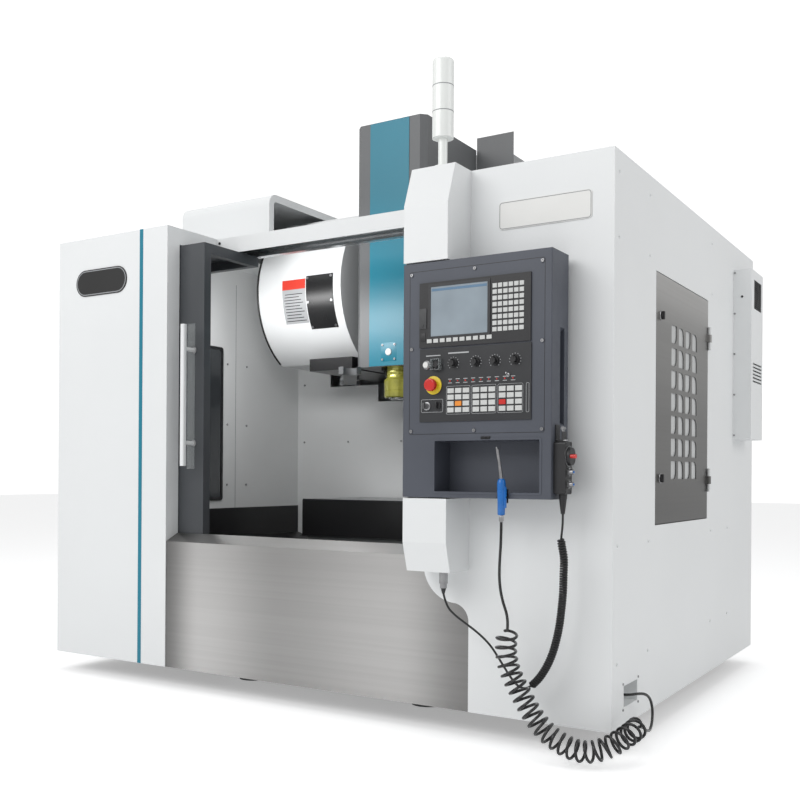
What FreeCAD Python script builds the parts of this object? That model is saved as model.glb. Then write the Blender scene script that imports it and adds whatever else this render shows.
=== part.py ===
import FreeCAD, Part
import math
import os

V = FreeCAD.Vector

# A vertical machining centre, in millimetres. X runs to the right, Y to the back, Z up.
# The shapes are drawn with Z = 0 at the guard's lower edge, Y = 0 at its front face and
# X = 0 on the spindle axis. The last step moves them to the middle of the footprint.

# Guard
guardWidth = 2500
guardDepth = 1862
guardHeight = 1767
sheet = 3
leftCabinetWidth = 646
rightCabinetWidth = 487
jambDepth = 68
apronHeight = 502
sillRise = 31
sillEnd = 66
lobeWidth = 168
footHeight = 80
footRadius = 60

# Sliding doors and the beam over them
doorFront = 72
doorThick = 38
doorBottomGap = 28
doorTopGap = 70
doorRoofDepth = 293
doorRoofThick = 41
doorShown = 132
beamFront = 290
beamHeight = 66
railDepth = 27
slideGap = 0.3

# Machine: table, saddle, bed, column and head
tableLength = 1000
tableWidth = 500
tableThick = 100
tableTop = 660
tableFront = 760
halfTravelX = 400
sideRoom = 45
slotPitch = 90
saddleHalf = 480
saddleTop = 520
bedHalf = 450
bedFront = 250
bedRear = 1800
bedTop = 300
wayHeight = 50
columnHalf = 248
columnFront = 1330
columnRear = 1790
columnTop = 2300
zWayDepth = 40
spindleY = 780
noseEnd = 1106
noseRadius = 61
shaftRadius = 36
headHalf = 174
headFront = 700
headRear = 1166
headBottom = 1238
headTop = 2289
headStepTop = 2262
screwRadius = 16
fit = 0.05
hingeReach = 8

# Tool magazine and changer
changerReach = 255
drumWidth = 472
drumRadius = 385
drumY = 1080
drumZ = 1620
drumCut = 1290
housingThick = 55
potCount = 24
armTop = 1225
armThick = 30
armAngle = 124.8
hoodWidth = 533
hoodHeight = 273
hoodFront = 600
hoodDepth = 960
hoodRadius = 50

# Control box on its swivel between two post covers
postWidth = 161
postDepth = 155
upperPostBottom = 1452
lowerPostTop = 699
lowerPostBottom = 464
boxWidth = 514
boxBack = -28
boxBottom = 703
boxTop = 1447
pivotInset = 80
pivotRadius = 15
pocketWidth = 358
pocketHeight = 159
pocketDepth = 100

# Cords: the air hose's tube, its coil, and the handwheel's cable
hoseDiameter = 9
hoseCoilDiameter = 64
cableDiameter = 7
curlDiameter = 26

left = -guardWidth / 2
right = guardWidth / 2
openLeft = left + leftCabinetWidth
openRight = right - rightCabinetWidth
doorBottom = apronHeight + doorBottomGap
doorTop = guardHeight - doorTopGap
doorBack = doorFront + doorThick
doorRear = doorBack + doorRoofDepth
tongueBottom = doorTop + 12
tongueTop = doorTop + 22
wallX = tableLength / 2 + halfTravelX + sideRoom
wallFront = doorBack + 2
backWall = tableFront + tableWidth + 36
tableY = tableFront + tableWidth / 2
skirtTop = tableTop - 52
postLeft = openRight - postWidth
pivotX = postLeft + pivotInset
pivotY = -pivotInset
boxLeft = postLeft
boxRight = boxLeft + boxWidth
boxFace = -postDepth
wayTop = bedTop + wayHeight
headBack = columnFront - zWayDepth - slideGap

nodes = {}


def block(x0, x1, y0, y1, z0, z1):
    return Part.makeBox(x1 - x0, y1 - y0, z1 - z0, V(x0, y0, z0))


def rod(start, direction, radius, length):
    return Part.makeCylinder(radius, length, V(*start), V(*direction))


def onPlane(axis, point, depth):
    if axis == "x":
        return V(depth, point[0], point[1])
    if axis == "y":
        return V(point[0], depth, point[1])
    return V(point[0], point[1], depth)


def prism(points, axis, start, end):
    # A closed outline, drawn across the axis and pushed from start to end.
    corners = [onPlane(axis, p, start) for p in points]
    face = Part.Face(Part.makePolygon(corners + corners[:1]))
    return face.extrude(onPlane(axis, (0, 0), end - start))


def fold(points, thick, axis, start, end):
    # A folded sheet: the path's left side is filled, or its right side if thick is negative.
    steps = [V(b[0] - a[0], b[1] - a[1], 0).normalize() for a, b in zip(points, points[1:])]
    sides = [V(-s.y, s.x, 0) for s in steps]
    shifted = []
    for i, point in enumerate(points):
        before = sides[max(i - 1, 0)]
        after = sides[min(i, len(sides) - 1)]
        mitre = (before + after) * (thick / (1 + before.dot(after)))
        shifted.append((point[0] + mitre.x, point[1] + mitre.y))
    return prism(list(points) + shifted[::-1], axis, start, end)


def mirrored(shape):
    return shape.mirror(V(0, 0, 0), V(1, 0, 0))


def joined(*shapes):
    return shapes[0].fuse(list(shapes[1:])).removeSplitter()


def group(*shapes):
    return Part.makeCompound(list(shapes))


def hinge(axisX, axisY, turn, heights):
    # Knuckle hinges on an outer face, with the pin fixed to one side. The axis stands hingeReach
    # out from the face. Returns the fixed and the moving half.
    face = -hingeReach
    fixed, moving = [], []
    for z in heights:
        pin = rod((0, 0, z - 45), (0, 0, 1), 4, 90)
        for z0 in (z - 45, z + 15.3):
            pin = pin.fuse(rod((0, 0, z0), (0, 0, 1), 7, 29.7))
        leaf = block(face, face + 2, 5, 28, z - 45, z + 45)
        for z0 in (z - 45, z + 15.3):
            leaf = leaf.fuse(block(face, 0, 1, 10, z0, z0 + 29.7))
        fixed.append(pin.fuse(leaf))
        knuckle = rod((0, 0, z - 15), (0, 0, 1), 7, 30)
        knuckle = knuckle.fuse(block(face, face + 2, -28, -3, z - 15, z + 15))
        knuckle = knuckle.fuse(block(face, 0, -10, -2, z - 15, z + 15))
        moving.append(knuckle.cut(rod((0, 0, z - 15), (0, 0, 1), 4 + fit, 30)))
    place = FreeCAD.Placement(V(axisX, axisY, 0), FreeCAD.Rotation(V(0, 0, 1), turn))
    for shape in fixed + moving:
        shape.Placement = place
    return fixed, moving


# Frame, bed and column

def baseBed():
    body = block(-bedHalf, bedHalf, bedFront, bedRear, -20, bedTop)
    pocketLength = (bedRear - bedFront - 200) / 3
    for i in range(3):
        y0 = bedFront + 50 + i * (pocketLength + 50)
        body = body.cut(block(60 - bedHalf, bedHalf - 60, y0, y0 + pocketLength, -20, bedTop - 80))
    for x0 in (-330, 250):
        body = body.fuse(block(x0, x0 + 80, bedFront + 20, backWall, bedTop, wayTop))
    for y0 in (bedFront, backWall - 10):
        bearing = block(-40, 40, y0, y0 + 20, bedTop, wayTop - 2)
        body = body.fuse(bearing.cut(rod((0, y0, wayTop - 25), (0, 1, 0), screwRadius + fit, 20)))
    return body.removeSplitter()


def levellingFeet():
    feet = []
    for x in (30 - bedHalf, bedHalf - 30):
        for y in (bedFront + 80, (bedFront + bedRear) / 2, bedRear - 80):
            pad = rod((x, y, -footHeight), (0, 0, 1), footRadius, 20)
            stud = rod((x, y, 20 - footHeight), (0, 0, 1), 15, footHeight - 40)
            nut = rod((x, y, -32), (0, 0, 1), 26, 12)
            feet.append(joined(pad, stud, nut))
    return group(*feet)


def column():
    body = block(-columnHalf, columnHalf, columnFront, columnRear, bedTop, columnTop)
    body = body.cut(block(60 - columnHalf, columnHalf - 60, columnFront + 60, columnRear - 50,
                          bedTop + 60, columnTop - 60))
    body = body.cut(block(-150, 150, columnRear - 50, columnRear, bedTop + 200, columnTop - 200))
    for x0 in (-190, 120):
        body = body.fuse(block(x0, x0 + 70, columnFront - zWayDepth, columnFront, 850, columnTop - 60))
    for z0 in (880, 2100):
        bearing = block(-40, 40, columnFront - zWayDepth + 1, columnFront, z0, z0 + 20)
        body = body.fuse(bearing.cut(rod((0, columnFront - 20, z0), (0, 0, 1), screwRadius + fit, 20)))
    return body.removeSplitter()


def columnCovers():
    # Grey sheets beside the head, over the roof. The left one stays clear of the tool magazine.
    rightCover = block(headHalf + 3, 361, headRear, headRear + sheet, guardHeight, 2317)
    sideReturn = fold([(361, headRear + sheet), (361, 1500), (columnHalf, 1500)], sheet, "z", guardHeight, 2130)
    leftCover = fold([(-headHalf - 3, headRear), (-246, headRear), (-246, columnFront)],
                     -sheet, "z", guardHeight, 2317)
    return [rightCover, sideReturn, leftCover]


# Guard

def frontPanels():
    leftPanel = fold([(left, 0), (openLeft, 0), (openLeft, jambDepth)], sheet, "z", 0, guardHeight)
    rightPanel = fold([(right, 0), (openRight, 0), (openRight, jambDepth)], -sheet, "z", 0, guardHeight)
    x0 = openRight - lobeWidth
    corners = [V(openRight, 0, 295), V(openRight - 50, 0, 352), V(x0, 0, 450), V(x0, 0, apronHeight),
               V(openRight, 0, apronHeight)]
    outline = Part.Wire([
        Part.Arc(corners[0], V(openRight - 15, 0, 333), corners[1]).toShape(),
        Part.Arc(corners[1], V(openRight - 123, 0, 378), corners[2]).toShape(),
        Part.LineSegment(corners[2], corners[3]).toShape(),
        Part.LineSegment(corners[3], corners[4]).toShape(),
        Part.LineSegment(corners[4], corners[0]).toShape()])
    lobe = Part.Face(outline).extrude(V(0, sheet, 0))
    leftHeader = block(openLeft - sheet, openLeft, jambDepth, beamFront, doorTop + 4, guardHeight - sheet)
    rightHeader = block(openRight, openRight + sheet, jambDepth, beamFront, doorTop + 4, guardHeight - sheet)
    return group(leftPanel, joined(rightPanel, lobe), leftHeader, rightHeader)


def sidePanels():
    leftSide = block(left, left + sheet, sheet, guardDepth - sheet, 0, guardHeight)
    rightSide = []
    for y0, y1, z0, z1 in ((sheet, 108, 0, guardHeight), (108, 238, 0, 57), (108, 238, 123, guardHeight),
                           (238, 412, 0, guardHeight), (412, 1076, 0, 609), (412, 1076, 1466, guardHeight),
                           (1076, guardDepth - sheet, 0, guardHeight)):
        rightSide.append(block(right - sheet, right, y0, y1, z0, z1))
    x0, x1 = right - 60, right - sheet
    recess = [block(x0 - 3, x0, 105, 241, 54, 126), block(x0, x1, 105, 108, 54, 126),
              block(x0, x1, 238, 241, 54, 126), block(x0, x1, 108, 238, 54, 57),
              block(x0, x1, 108, 238, 123, 126)]
    socket = rod((x0, 121, 92), (1, 0, 0), 9, 36)
    fixed, moving = hinge(right + hingeReach, 1075, 0, (760, 1315))
    return group(leftSide, *rightSide, *recess, socket, *fixed)


def topAndRearPanels():
    z0 = guardHeight - sheet
    leftRoof = block(left + sheet, openLeft, sheet, guardDepth - sheet, z0, guardHeight)
    leftRoof = leftRoof.cut(block(openLeft - 156, openLeft, hoodFront + 60, hoodFront + hoodDepth - 10, z0, guardHeight))
    leftRoof = leftRoof.cut(block(openLeft - sheet, openLeft, sheet, jambDepth, z0, guardHeight))
    rightRoof = block(openRight + sheet, right - sheet, sheet, guardDepth - sheet, z0, guardHeight)
    rearRoof = block(openLeft, openRight + sheet, 1500, guardDepth - sheet, z0, guardHeight)
    rearRoof = rearRoof.cut(block(-columnHalf - 1, columnHalf + 1, 1500, columnRear + 5, z0, guardHeight))
    y0 = guardDepth - sheet
    cabinetLeft = right - 610
    rearLeft = block(left, -302, y0, guardDepth, 0, guardHeight)
    rearMiddle = block(-298, cabinetLeft, y0, guardDepth, 0, guardHeight)
    return group(leftRoof, rightRoof, rearRoof, rearLeft, rearMiddle, *columnCovers())


def innerWalls():
    top = guardHeight - sheet
    low = doorTop - doorRoofThick - 8
    side = prism([(wallFront + 3, bedTop), (backWall, bedTop), (backWall, top), (doorRear + 37, top),
                  (doorRear + 37, low), (wallFront + 3, low)], "x", wallX, wallX + sheet)
    edge = wallX + sheet
    drumLeft = -changerReach - drumWidth - 8
    backLeft = prism([(-edge, bedTop), (-262, bedTop), (-262, 1140), (-440, 1140), (-440, 1225),
                      (drumLeft, 1225), (drumLeft, top), (-edge, top)], "y", backWall, backWall + sheet)
    backRight = block(262, edge, backWall, backWall + sheet, bedTop, top)
    frontLeft = block(-edge, openLeft - 6, wallFront, wallFront + sheet, skirtTop, low)
    frontRight = block(openRight + 6, edge, wallFront, wallFront + sheet, skirtTop, low)
    return group(side, mirrored(side), backLeft, backRight, frontLeft, frontRight)


def chipPan():
    y0 = wallFront + 2 * sheet
    skirt = block(-wallX, sheet - wallX, y0, backWall, skirtTop - 138, skirtTop)
    slope = prism([(-wallX, skirtTop - 138), (-bedHalf - 0.2, bedTop - 8), (-bedHalf - 0.2, bedTop - 5),
                   (sheet - wallX, skirtTop - 138)], "y", y0, backWall)
    sill = apronHeight + 13
    front = fold([(wallFront + 5.6, sill), (bedFront - 3, bedTop - 3)], -sheet, "x", -bedHalf, bedHalf)
    end = block(-wallX, -bedHalf, wallFront + sheet, y0, bedTop, sill)
    tray = []
    for x0, x1, near, far in ((left + sheet, -bedHalf, jambDepth, guardDepth - sheet),
                              (bedHalf, right - sheet, jambDepth, guardDepth - sheet),
                              (-bedHalf, bedHalf, jambDepth, bedFront), (-bedHalf, bedHalf, bedRear, guardDepth - sheet)):
        tray.append(block(x0, x1, near, far, 10, 13))
    return group(skirt, mirrored(skirt), slope, mirrored(slope), front, end, mirrored(end), *tray)


def frontApron():
    path = [(sheet, 0), (sheet, apronHeight), (sillEnd, apronHeight + sillRise),
            (sillEnd, apronHeight + 13), (wallFront + sheet, apronHeight + 13)]
    return fold(path, -sheet, "x", openLeft + slideGap, openRight - slideGap)


def frontBeam():
    z0 = guardHeight - beamHeight
    rear = doorRear + railDepth
    beam = fold([(beamFront, z0), (beamFront, guardHeight), (rear, guardHeight), (rear, z0)],
                -sheet, "x", openLeft, openRight + sheet)
    return group(beam, doorRail())


def doorRail():
    # A grooved rail inside the beam, with a tongue on each door's roof running in it.
    z0 = guardHeight - beamHeight
    front = doorRear + slideGap
    rear = doorRear + railDepth - sheet
    rails = []
    for low, high, back in ((z0, tongueBottom - slideGap, front), (tongueTop + slideGap, z0 + 28, front),
                            (tongueBottom - slideGap, tongueTop + slideGap, rear - 11)):
        rails.append(block(left + sheet, right - sheet, back, rear, low, high))
    return joined(*rails)


def slidingDoor(x0, x1, window0, window1):
    # A framed panel, with a roof part that covers the loading gap behind the door.
    body = block(x0, x1, doorFront, doorBack, doorBottom, doorTop)
    body = body.fuse(block(x0, x1, doorBack, doorRear, doorTop - doorRoofThick, doorTop))
    body = body.cut(block(x0 + 30, x1 - 30, doorBack, doorRear - 30, doorTop - doorRoofThick, doorTop - 4))
    body = body.cut(block(window0, window1, doorFront, doorBack, doorBottom + 250, doorTop - 197))
    body = body.fuse(block(x0 + 60, x1 - 60, doorRear - 6, doorRear, doorTop - 4, tongueTop))
    body = body.fuse(block(x0 + 60, x1 - 60, doorRear, doorRear + 9, tongueBottom, tongueTop))
    for x in (x0 + 80, x1 - 140):
        body = body.fuse(block(x, x + 60, 88, 94, apronHeight + 13 + slideGap, doorBottom))
    pane = block(window0, window1, doorFront + 16, doorFront + 20, doorBottom + 250, doorTop - 197)
    return body.removeSplitter(), pane


def doorHandle():
    x = openLeft + 84.5
    bar = block(x - 15.5, x + 5.5, 2, 22, 803, 1365)
    bar = bar.makeFillet(6, [e for e in bar.Edges if abs(e.tangentAt(0).z) > 0.9])
    posts = [rod((x - 5, 20, z), (0, 1, 0), 8, doorFront - 20) for z in (895, 1268)]
    return joined(bar, *posts)


def frontTrims():
    stripe = block(left + 491, left + 510, -1, 0, 0, guardHeight)
    badge = block(left + 113 + 55, left + 417 - 55, -3, 0, 1521, 1632)
    for x in (left + 113 + 55, left + 417 - 55):
        badge = badge.fuse(rod((x, -3, 1576.5), (0, 1, 0), 55.5, 3))
    plate = block(openRight + 103, openRight + 416, -3, 0, 1559, 1648)
    plate = plate.makeFillet(12, [e for e in plate.Edges if abs(e.tangentAt(0).y) > 0.9])
    return group(stripe, badge.removeSplitter(), plate)


def sideDoor():
    body = block(right - 20, right, 415, 1073, 612, 1463)
    body = body.cut(block(right - 20, right - 2, 418, 1070, 615, 1460))
    slots = []
    for row in range(7):
        for col in range(4):
            y = 590 + col * 88
            z = 764 + row * 80
            slot = block(right - 2, right, y, y + 64, z, z + 64)
            low = z + 1 if col % 2 else z + 63
            edges = [e for e in slot.Edges if abs(e.tangentAt(0).x) > 0.9
                     and e.BoundBox.YMin > y + 63 and abs(e.BoundBox.ZMin - low) > 30]
            slots.append(slot.makeFillet(28, edges))
    body = body.cut(slots)
    for z in (767, 1322):
        body = body.cut(rod((right - 2, 468, z), (1, 0, 0), 5 + fit, 2))
    fixed, moving = hinge(right + hingeReach, 1075, 0, (760, 1315))
    return joined(body, *moving)


def sideLatch(z):
    knob = rod((right + slideGap, 468, z), (1, 0, 0), 14, 4)
    grip = block(right + 4, right + 12, 464, 472, z - 12, z + 12)
    shaft = rod((right - 36, 468, z), (1, 0, 0), 5, 40)
    cam = block(right - 36, right - 32, 458, 478, z - 10, z + 70)
    return joined(knob, grip, shaft, cam)


def electricalCabinet():
    x0, x1 = right - 610, right - 6
    body = block(x0, x1, 1420, guardDepth, 13, 1700)
    body = body.cut(block(x0 + 3, x1 - 3, 1423, guardDepth, 16, 1697))
    rim = block(x0 + 3, x1 - 3, 1838, 1841, 16, 1697).cut(block(x0 + 23, x1 - 23, 1838, 1841, 36, 1677))
    fixed, moving = hinge(x0 + 4, guardDepth + hingeReach, 90, (400, 1300))
    return group(joined(body, rim), *fixed)


def cabinetDoor():
    x0, x1 = right - 610, right - 6
    body = block(x0 + 6, x1 - 6, guardDepth - 20, guardDepth, 20, 1693)
    body = body.cut(block(x0 + 9, x1 - 9, guardDepth - 20, guardDepth - 2, 23, 1690))
    body = body.cut(rod((x1 - 110, guardDepth - 2, 1400), (0, 1, 0), 6 + fit, 2))
    fixed, moving = hinge(x0 + 4, guardDepth + hingeReach, 90, (400, 1300))
    return joined(body, *moving)


def mainSwitch():
    x = right - 116
    disc = rod((x, guardDepth + slideGap, 1400), (0, 1, 0), 32, 6)
    grip = block(x - 8, x + 8, guardDepth + 6, guardDepth + 28, 1372, 1428)
    shaft = rod((x, guardDepth - 60, 1400), (0, 1, 0), 6, 62)
    return joined(disc, grip, shaft)


def coolerUnit():
    x1 = right + 75
    body = block(right, x1, 1488, 1710, 935, 1660)
    body = body.cut(block(right, x1 - 3, 1491, 1707, 938, 1657))
    body = body.cut(block(x1 - 3, x1, 1538, 1680, 1496, 1620))
    for i in range(6):
        z = 1180 + i * 15
        body = body.cut(block(x1 - 3, x1, 1520, 1690, z, z + 7))
    return body


def towerLight():
    x, y = openRight - 73, -60
    base = rod((x, y, guardHeight), (0, 0, 1), 30, 8)
    pole = joined(base, rod((x, y, guardHeight), (0, 0, 1), 15, 100))
    lens = rod((x, y, guardHeight + 100), (0, 0, 1), 35, 258)
    lens = lens.makeFillet(10, [e for e in lens.Edges if e.BoundBox.ZMin > guardHeight + 300])
    return group(pole, lens)


# Post covers and control box

def postCovers():
    top = [(0, upperPostBottom), (boxFace, upperPostBottom), (boxFace, guardHeight - 132),
           (boxFace + 48, guardHeight), (0, guardHeight)]
    upper = prism(top, "x", postLeft, openRight)
    hollow = [(1, upperPostBottom + 10), (boxFace + 3, upperPostBottom + 10), (boxFace + 3, guardHeight - 133),
              (boxFace + 50, guardHeight - 3), (1, guardHeight - 3)]
    upper = upper.cut(prism(hollow, "x", postLeft + 3, openRight - 3))
    upper = upper.fuse(block(openRight - 60, openRight, -60, 60, upperPostBottom + 28, guardHeight - 27))
    upper = upper.fuse(rod((pivotX, pivotY, boxTop - 10), (0, 0, 1), pivotRadius, 20))
    bottom = [(0, lowerPostBottom), (boxFace + 28, lowerPostBottom), (boxFace, lowerPostBottom + 94),
              (boxFace, lowerPostTop), (0, lowerPostTop)]
    lower = prism(bottom, "x", postLeft + 2, openRight)
    hollow = [(1, lowerPostBottom + 3), (boxFace + 30, lowerPostBottom + 3), (boxFace + 3, lowerPostBottom + 95),
              (boxFace + 3, lowerPostTop - 10), (1, lowerPostTop - 10)]
    lower = lower.cut(prism(hollow, "x", postLeft + 5, openRight - 3))
    lower = lower.fuse(block(openRight - 60, openRight, -60, 60, apronHeight + 43, lowerPostTop - 19))
    lower = lower.fuse(rod((pivotX, pivotY, lowerPostTop - 10), (0, 0, 1), pivotRadius, 30))
    lower = lower.fuse(rod((pivotX, pivotY, lowerPostTop), (0, 0, 1), 25, boxBottom - lowerPostTop - slideGap))
    return group(upper, lower)


def boxShell():
    body = block(boxLeft, boxRight, boxFace, boxBack, boxBottom, boxTop)
    body = body.makeFillet(3, [e for e in body.Edges if abs(e.tangentAt(0).z) > 0.9])
    body = body.cut(block(boxLeft + 10, boxRight - 36, boxFace + 7, boxBack - 3, 895, boxTop - 10))
    body = body.cut(block(boxLeft + 25, boxRight - 23, boxFace, boxFace + 4, 903, 1420))
    body = body.cut(block(boxLeft + 40, boxRight - 42, boxFace, boxFace + 10, 918, 1400))
    x0 = boxLeft + 119
    pocket = block(x0, x0 + pocketWidth, boxFace, boxFace + pocketDepth, 722, 722 + pocketHeight)
    body = body.cut(pocket.makeFillet(3, [e for e in pocket.Edges if abs(e.tangentAt(0).y) > 0.9]))
    slot = prism([(boxRight - 30, 947), (boxRight, 927), (boxRight, 1219), (boxRight - 30, 1199)],
                 "y", boxFace + 63, boxFace + 95)
    body = body.cut(slot)
    for z0 in (boxBottom, boxTop - 12):
        depth = 19 if z0 == boxBottom else 12
        body = body.cut(rod((pivotX, pivotY, z0), (0, 0, 1), pivotRadius + fit, depth))
    return body.removeSplitter()


def boxFrontPlate():
    body = block(boxLeft + 25, boxRight - 23, boxFace, boxFace + 4, 903, 1420)
    body = body.cut(block(boxLeft + 70, boxRight - 74, boxFace, boxFace + 4, 1184, 1373))
    return body.cut(block(boxLeft + 72, boxRight - 72, boxFace, boxFace + 4, 949, 1163))


def displayUnit():
    face = block(boxLeft + 63, boxRight - 66, boxFace - 5, boxFace, 1176, 1381)
    return joined(face, block(boxLeft + 70, boxRight - 74, boxFace, boxFace + 70, 1184, 1373))


def operatorPanel():
    face = block(boxLeft + 65, boxRight - 64, boxFace - 4, boxFace, 941, 1171)
    body = joined(face, block(boxLeft + 72, boxRight - 72, boxFace, boxFace + 50, 949, 1163))
    for x, z, radius in controlHoles():
        body = body.cut(rod((x, boxFace - 4, z), (0, 1, 0), radius + fit, 40))
    return body


buttonPlaces = [(91, 1121), (128, 1121)]
knobPlaces = [(187, 1122), (265, 1122), (330, 1122), (398, 1122)]
stopPlace = (116, 1056)
keySwitchPlace = (92, 991)


def controlHoles():
    holes = [(boxLeft + x, z, 5) for x, z in buttonPlaces]
    holes += [(boxLeft + x, z, 3) for x, z in knobPlaces]
    holes.append((boxLeft + stopPlace[0], stopPlace[1], 8))
    holes.append((boxLeft + keySwitchPlace[0], keySwitchPlace[1], 6))
    return holes


def pushButton(place):
    x, z = boxLeft + place[0], place[1]
    head = rod((x, boxFace - 14, z), (0, 1, 0), 9, 6)
    return joined(head, rod((x, boxFace - 10, z), (0, 1, 0), 5, 30))


def rotaryKnob(place):
    x, z = boxLeft + place[0], place[1]
    face = boxFace - 4 - slideGap
    body = rod((x, face - 5, z), (0, 1, 0), 13, 5)
    body = body.fuse(rod((x, face - 18, z), (0, 1, 0), 9, 13))
    body = body.fuse(block(x - 2, x + 2, face - 19, face - 5, z, z + 12))
    return joined(body, rod((x, face - 5, z), (0, 1, 0), 3, 30))


def emergencyStop():
    x, z = boxLeft + stopPlace[0], stopPlace[1]
    head = rod((x, boxFace - 34, z), (0, 1, 0), 20, 15)
    head = head.makeFillet(5, [e for e in head.Edges if e.BoundBox.YMax < boxFace - 33])
    return joined(head, rod((x, boxFace - 20, z), (0, 1, 0), 8, 48))


def keySwitch():
    x, z = boxLeft + keySwitchPlace[0], keySwitchPlace[1]
    face = boxFace - 4 - slideGap
    body = rod((x, face - 6, z), (0, 1, 0), 9, 6)
    body = body.fuse(block(x - 1.2, x + 1.2, face - 24, face - 6, z - 9, z + 9))
    return joined(body, rod((x, face - 4, z), (0, 1, 0), 6, 28))


def panelKeys():
    keys = []
    for i in range(10):
        x = boxLeft + 92 + i * 23.4
        keys.append(block(x, x + 17, boxFace - 7, boxFace - 5, 1190, 1202))
    for row in range(8):
        for col in range(6):
            x = boxLeft + 322 + col * 18
            z = 1211 + row * 19
            keys.append(block(x, x + 14, boxFace - 7, boxFace - 5, z, z + 13))
    for row in range(4):
        for col in range(9):
            x = boxLeft + 167 + (col // 3) * 89 + (col % 3) * 27
            z = 969 + row * 20
            keys.append(block(x, x + 22, boxFace - 6.5, boxFace - 4, z, z + 15))
    return group(*keys)


pendantY = -112


def pendantBody():
    x0 = boxRight
    body = block(x0, x0 + 37, -138, -86, 719, 875)
    body = body.makeFillet(8, [e for e in body.Edges if abs(e.tangentAt(0).x) > 0.9])
    for z, radius in ((831, 5), (785, 3), (748, 3)):
        body = body.cut(rod((x0 + 10, pendantY, z), (1, 0, 0), radius + fit, 27))
    boot = Part.makeCone(6, 13, 59, V(x0 + 20, pendantY, 660))
    hook = block(x0, x0 + 3, -128, -96, 875, 925).fuse(block(x0, x0 + 24, -128, -96, 875, 880))
    return group(joined(body, boot), joined(hook, block(x0 + 21, x0 + 24, -128, -96, 875, 905)))


def pendantWheel():
    x0 = boxRight + 37 + slideGap
    wheel = rod((x0, pendantY, 831), (1, 0, 0), 26, 12)
    knob = rod((x0 + 12, pendantY - 16, 831), (1, 0, 0), 6, 18)
    return joined(wheel, knob, rod((x0 - 20, pendantY, 831), (1, 0, 0), 5, 20))


def pendantSelector(z):
    x0 = boxRight + 37 + slideGap
    body = rod((x0, pendantY, z), (1, 0, 0), 12, 4).fuse(rod((x0, pendantY, z), (1, 0, 0), 8, 15))
    return joined(body, rod((x0 - 15, pendantY, z), (1, 0, 0), 3, 16))


def pendantPlug():
    x, y = openRight - 52, -75
    body = rod((x, y, lowerPostBottom - 40), (0, 0, 1), 14, 40)
    collar = rod((x, y, lowerPostBottom - 55), (0, 0, 1), 11, 15)
    boot = Part.makeCone(4.5, 9, 18, V(x, y, lowerPostBottom - 73))
    return joined(body, collar, boot)


def airGun():
    x, y = boxLeft + 360, -170
    body = rod((x, y, 655), (0, 0, 1), 11, 105).fuse(block(x - 9, x + 9, y, boxFace, 706, 720))
    fitting = rod((x, y, 633), (0, 0, 1), 6, 22)
    nozzle = Part.makeCone(6, 3, 95, V(x, y, 758), V(-0.14, 0, 1))
    return joined(body, fitting, nozzle)


# Machine inside

def saddle():
    y0 = tableFront + 10
    y1 = tableFront + tableWidth - 10
    body = block(-saddleHalf, saddleHalf, y0, y1, wayTop + slideGap, saddleTop)
    for x0 in (-345, 330 + slideGap):
        body = body.fuse(block(x0, x0 + 15 - slideGap, y0, y1, bedTop + 15, wayTop + slideGap))
    for y in (tableY - 160, tableY + 90):
        body = body.fuse(block(-saddleHalf, saddleHalf, y, y + 70, saddleTop, tableTop - tableThick))
    nut = block(-35, 35, tableY, tableY + 80, bedTop + 2, wayTop + slideGap)
    body = body.fuse(nut.cut(rod((0, tableY, wayTop - 25), (0, 1, 0), screwRadius + fit, 80)))
    for x0 in (-saddleHalf, saddleHalf - 25):
        bearing = block(x0, x0 + 25, tableY - 30, tableY + 30, saddleTop, tableTop - tableThick)
        hole = rod((x0, tableY, saddleTop + 20), (1, 0, 0), 12 + fit, 25)
        body = body.fuse(bearing.cut(hole))
    return body.removeSplitter()


def table():
    half = tableLength / 2
    low = tableTop - tableThick + slideGap
    body = block(-half, half, tableFront, tableFront + tableWidth, low, tableTop)
    for i in range(-2, 3):
        y = tableY + i * slotPitch
        body = body.cut(block(-half, half, y - 9, y + 9, tableTop - 32, tableTop))
        body = body.cut(block(-half, half, y - 15, y + 15, tableTop - 32, tableTop - 20))
    for y0 in (tableY - 172, tableY + 160 + slideGap):
        body = body.fuse(block(-half, half, y0, y0 + 12 - slideGap, low - 25, low))
    nut = block(-40, 40, tableY - 28, tableY + 28, saddleTop + 2, low)
    body = joined(body, nut.cut(rod((-40, tableY, saddleTop + 20), (1, 0, 0), 12 + fit, 80)))
    return group(body, tableFrontCover(half))


def tableFrontCover(half):
    return fold([(tableFront, tableTop - 5), (tableFront, 490), (tableFront - 18, 490)],
                -sheet, "x", -half, half)


def headCasting():
    nose = block(-headHalf + 3, headHalf - 3, headFront + 30, headRear + 6, headBottom + 3, 1500)
    back = block(-215, 215, headRear + 6, headBack, headBottom + 12, 1800)
    body = nose.fuse(back)
    for x0 in (-215, 190 + slideGap):
        body = body.fuse(block(x0, x0 + 25 - slideGap, headBack, headBack + 30, 1300, 1750))
    nut = block(-35, 35, headBack, columnFront - 2, 1500, 1580)
    body = body.fuse(nut)
    body = body.cut(rod((0, columnFront - 20, 1500), (0, 0, 1), screwRadius + fit, 80))
    body = body.cut(rod((0, spindleY, headBottom), (0, 0, 1), shaftRadius + 6, 270))
    return body.removeSplitter()


def headOutline(inset, rear):
    half, front, cut = headHalf - inset, headFront + inset, 24 - inset * 0.41
    return [(-half, rear), (-half, front + cut), (cut - half, front), (half - cut, front), (half, front + cut),
            (half, rear)]


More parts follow.
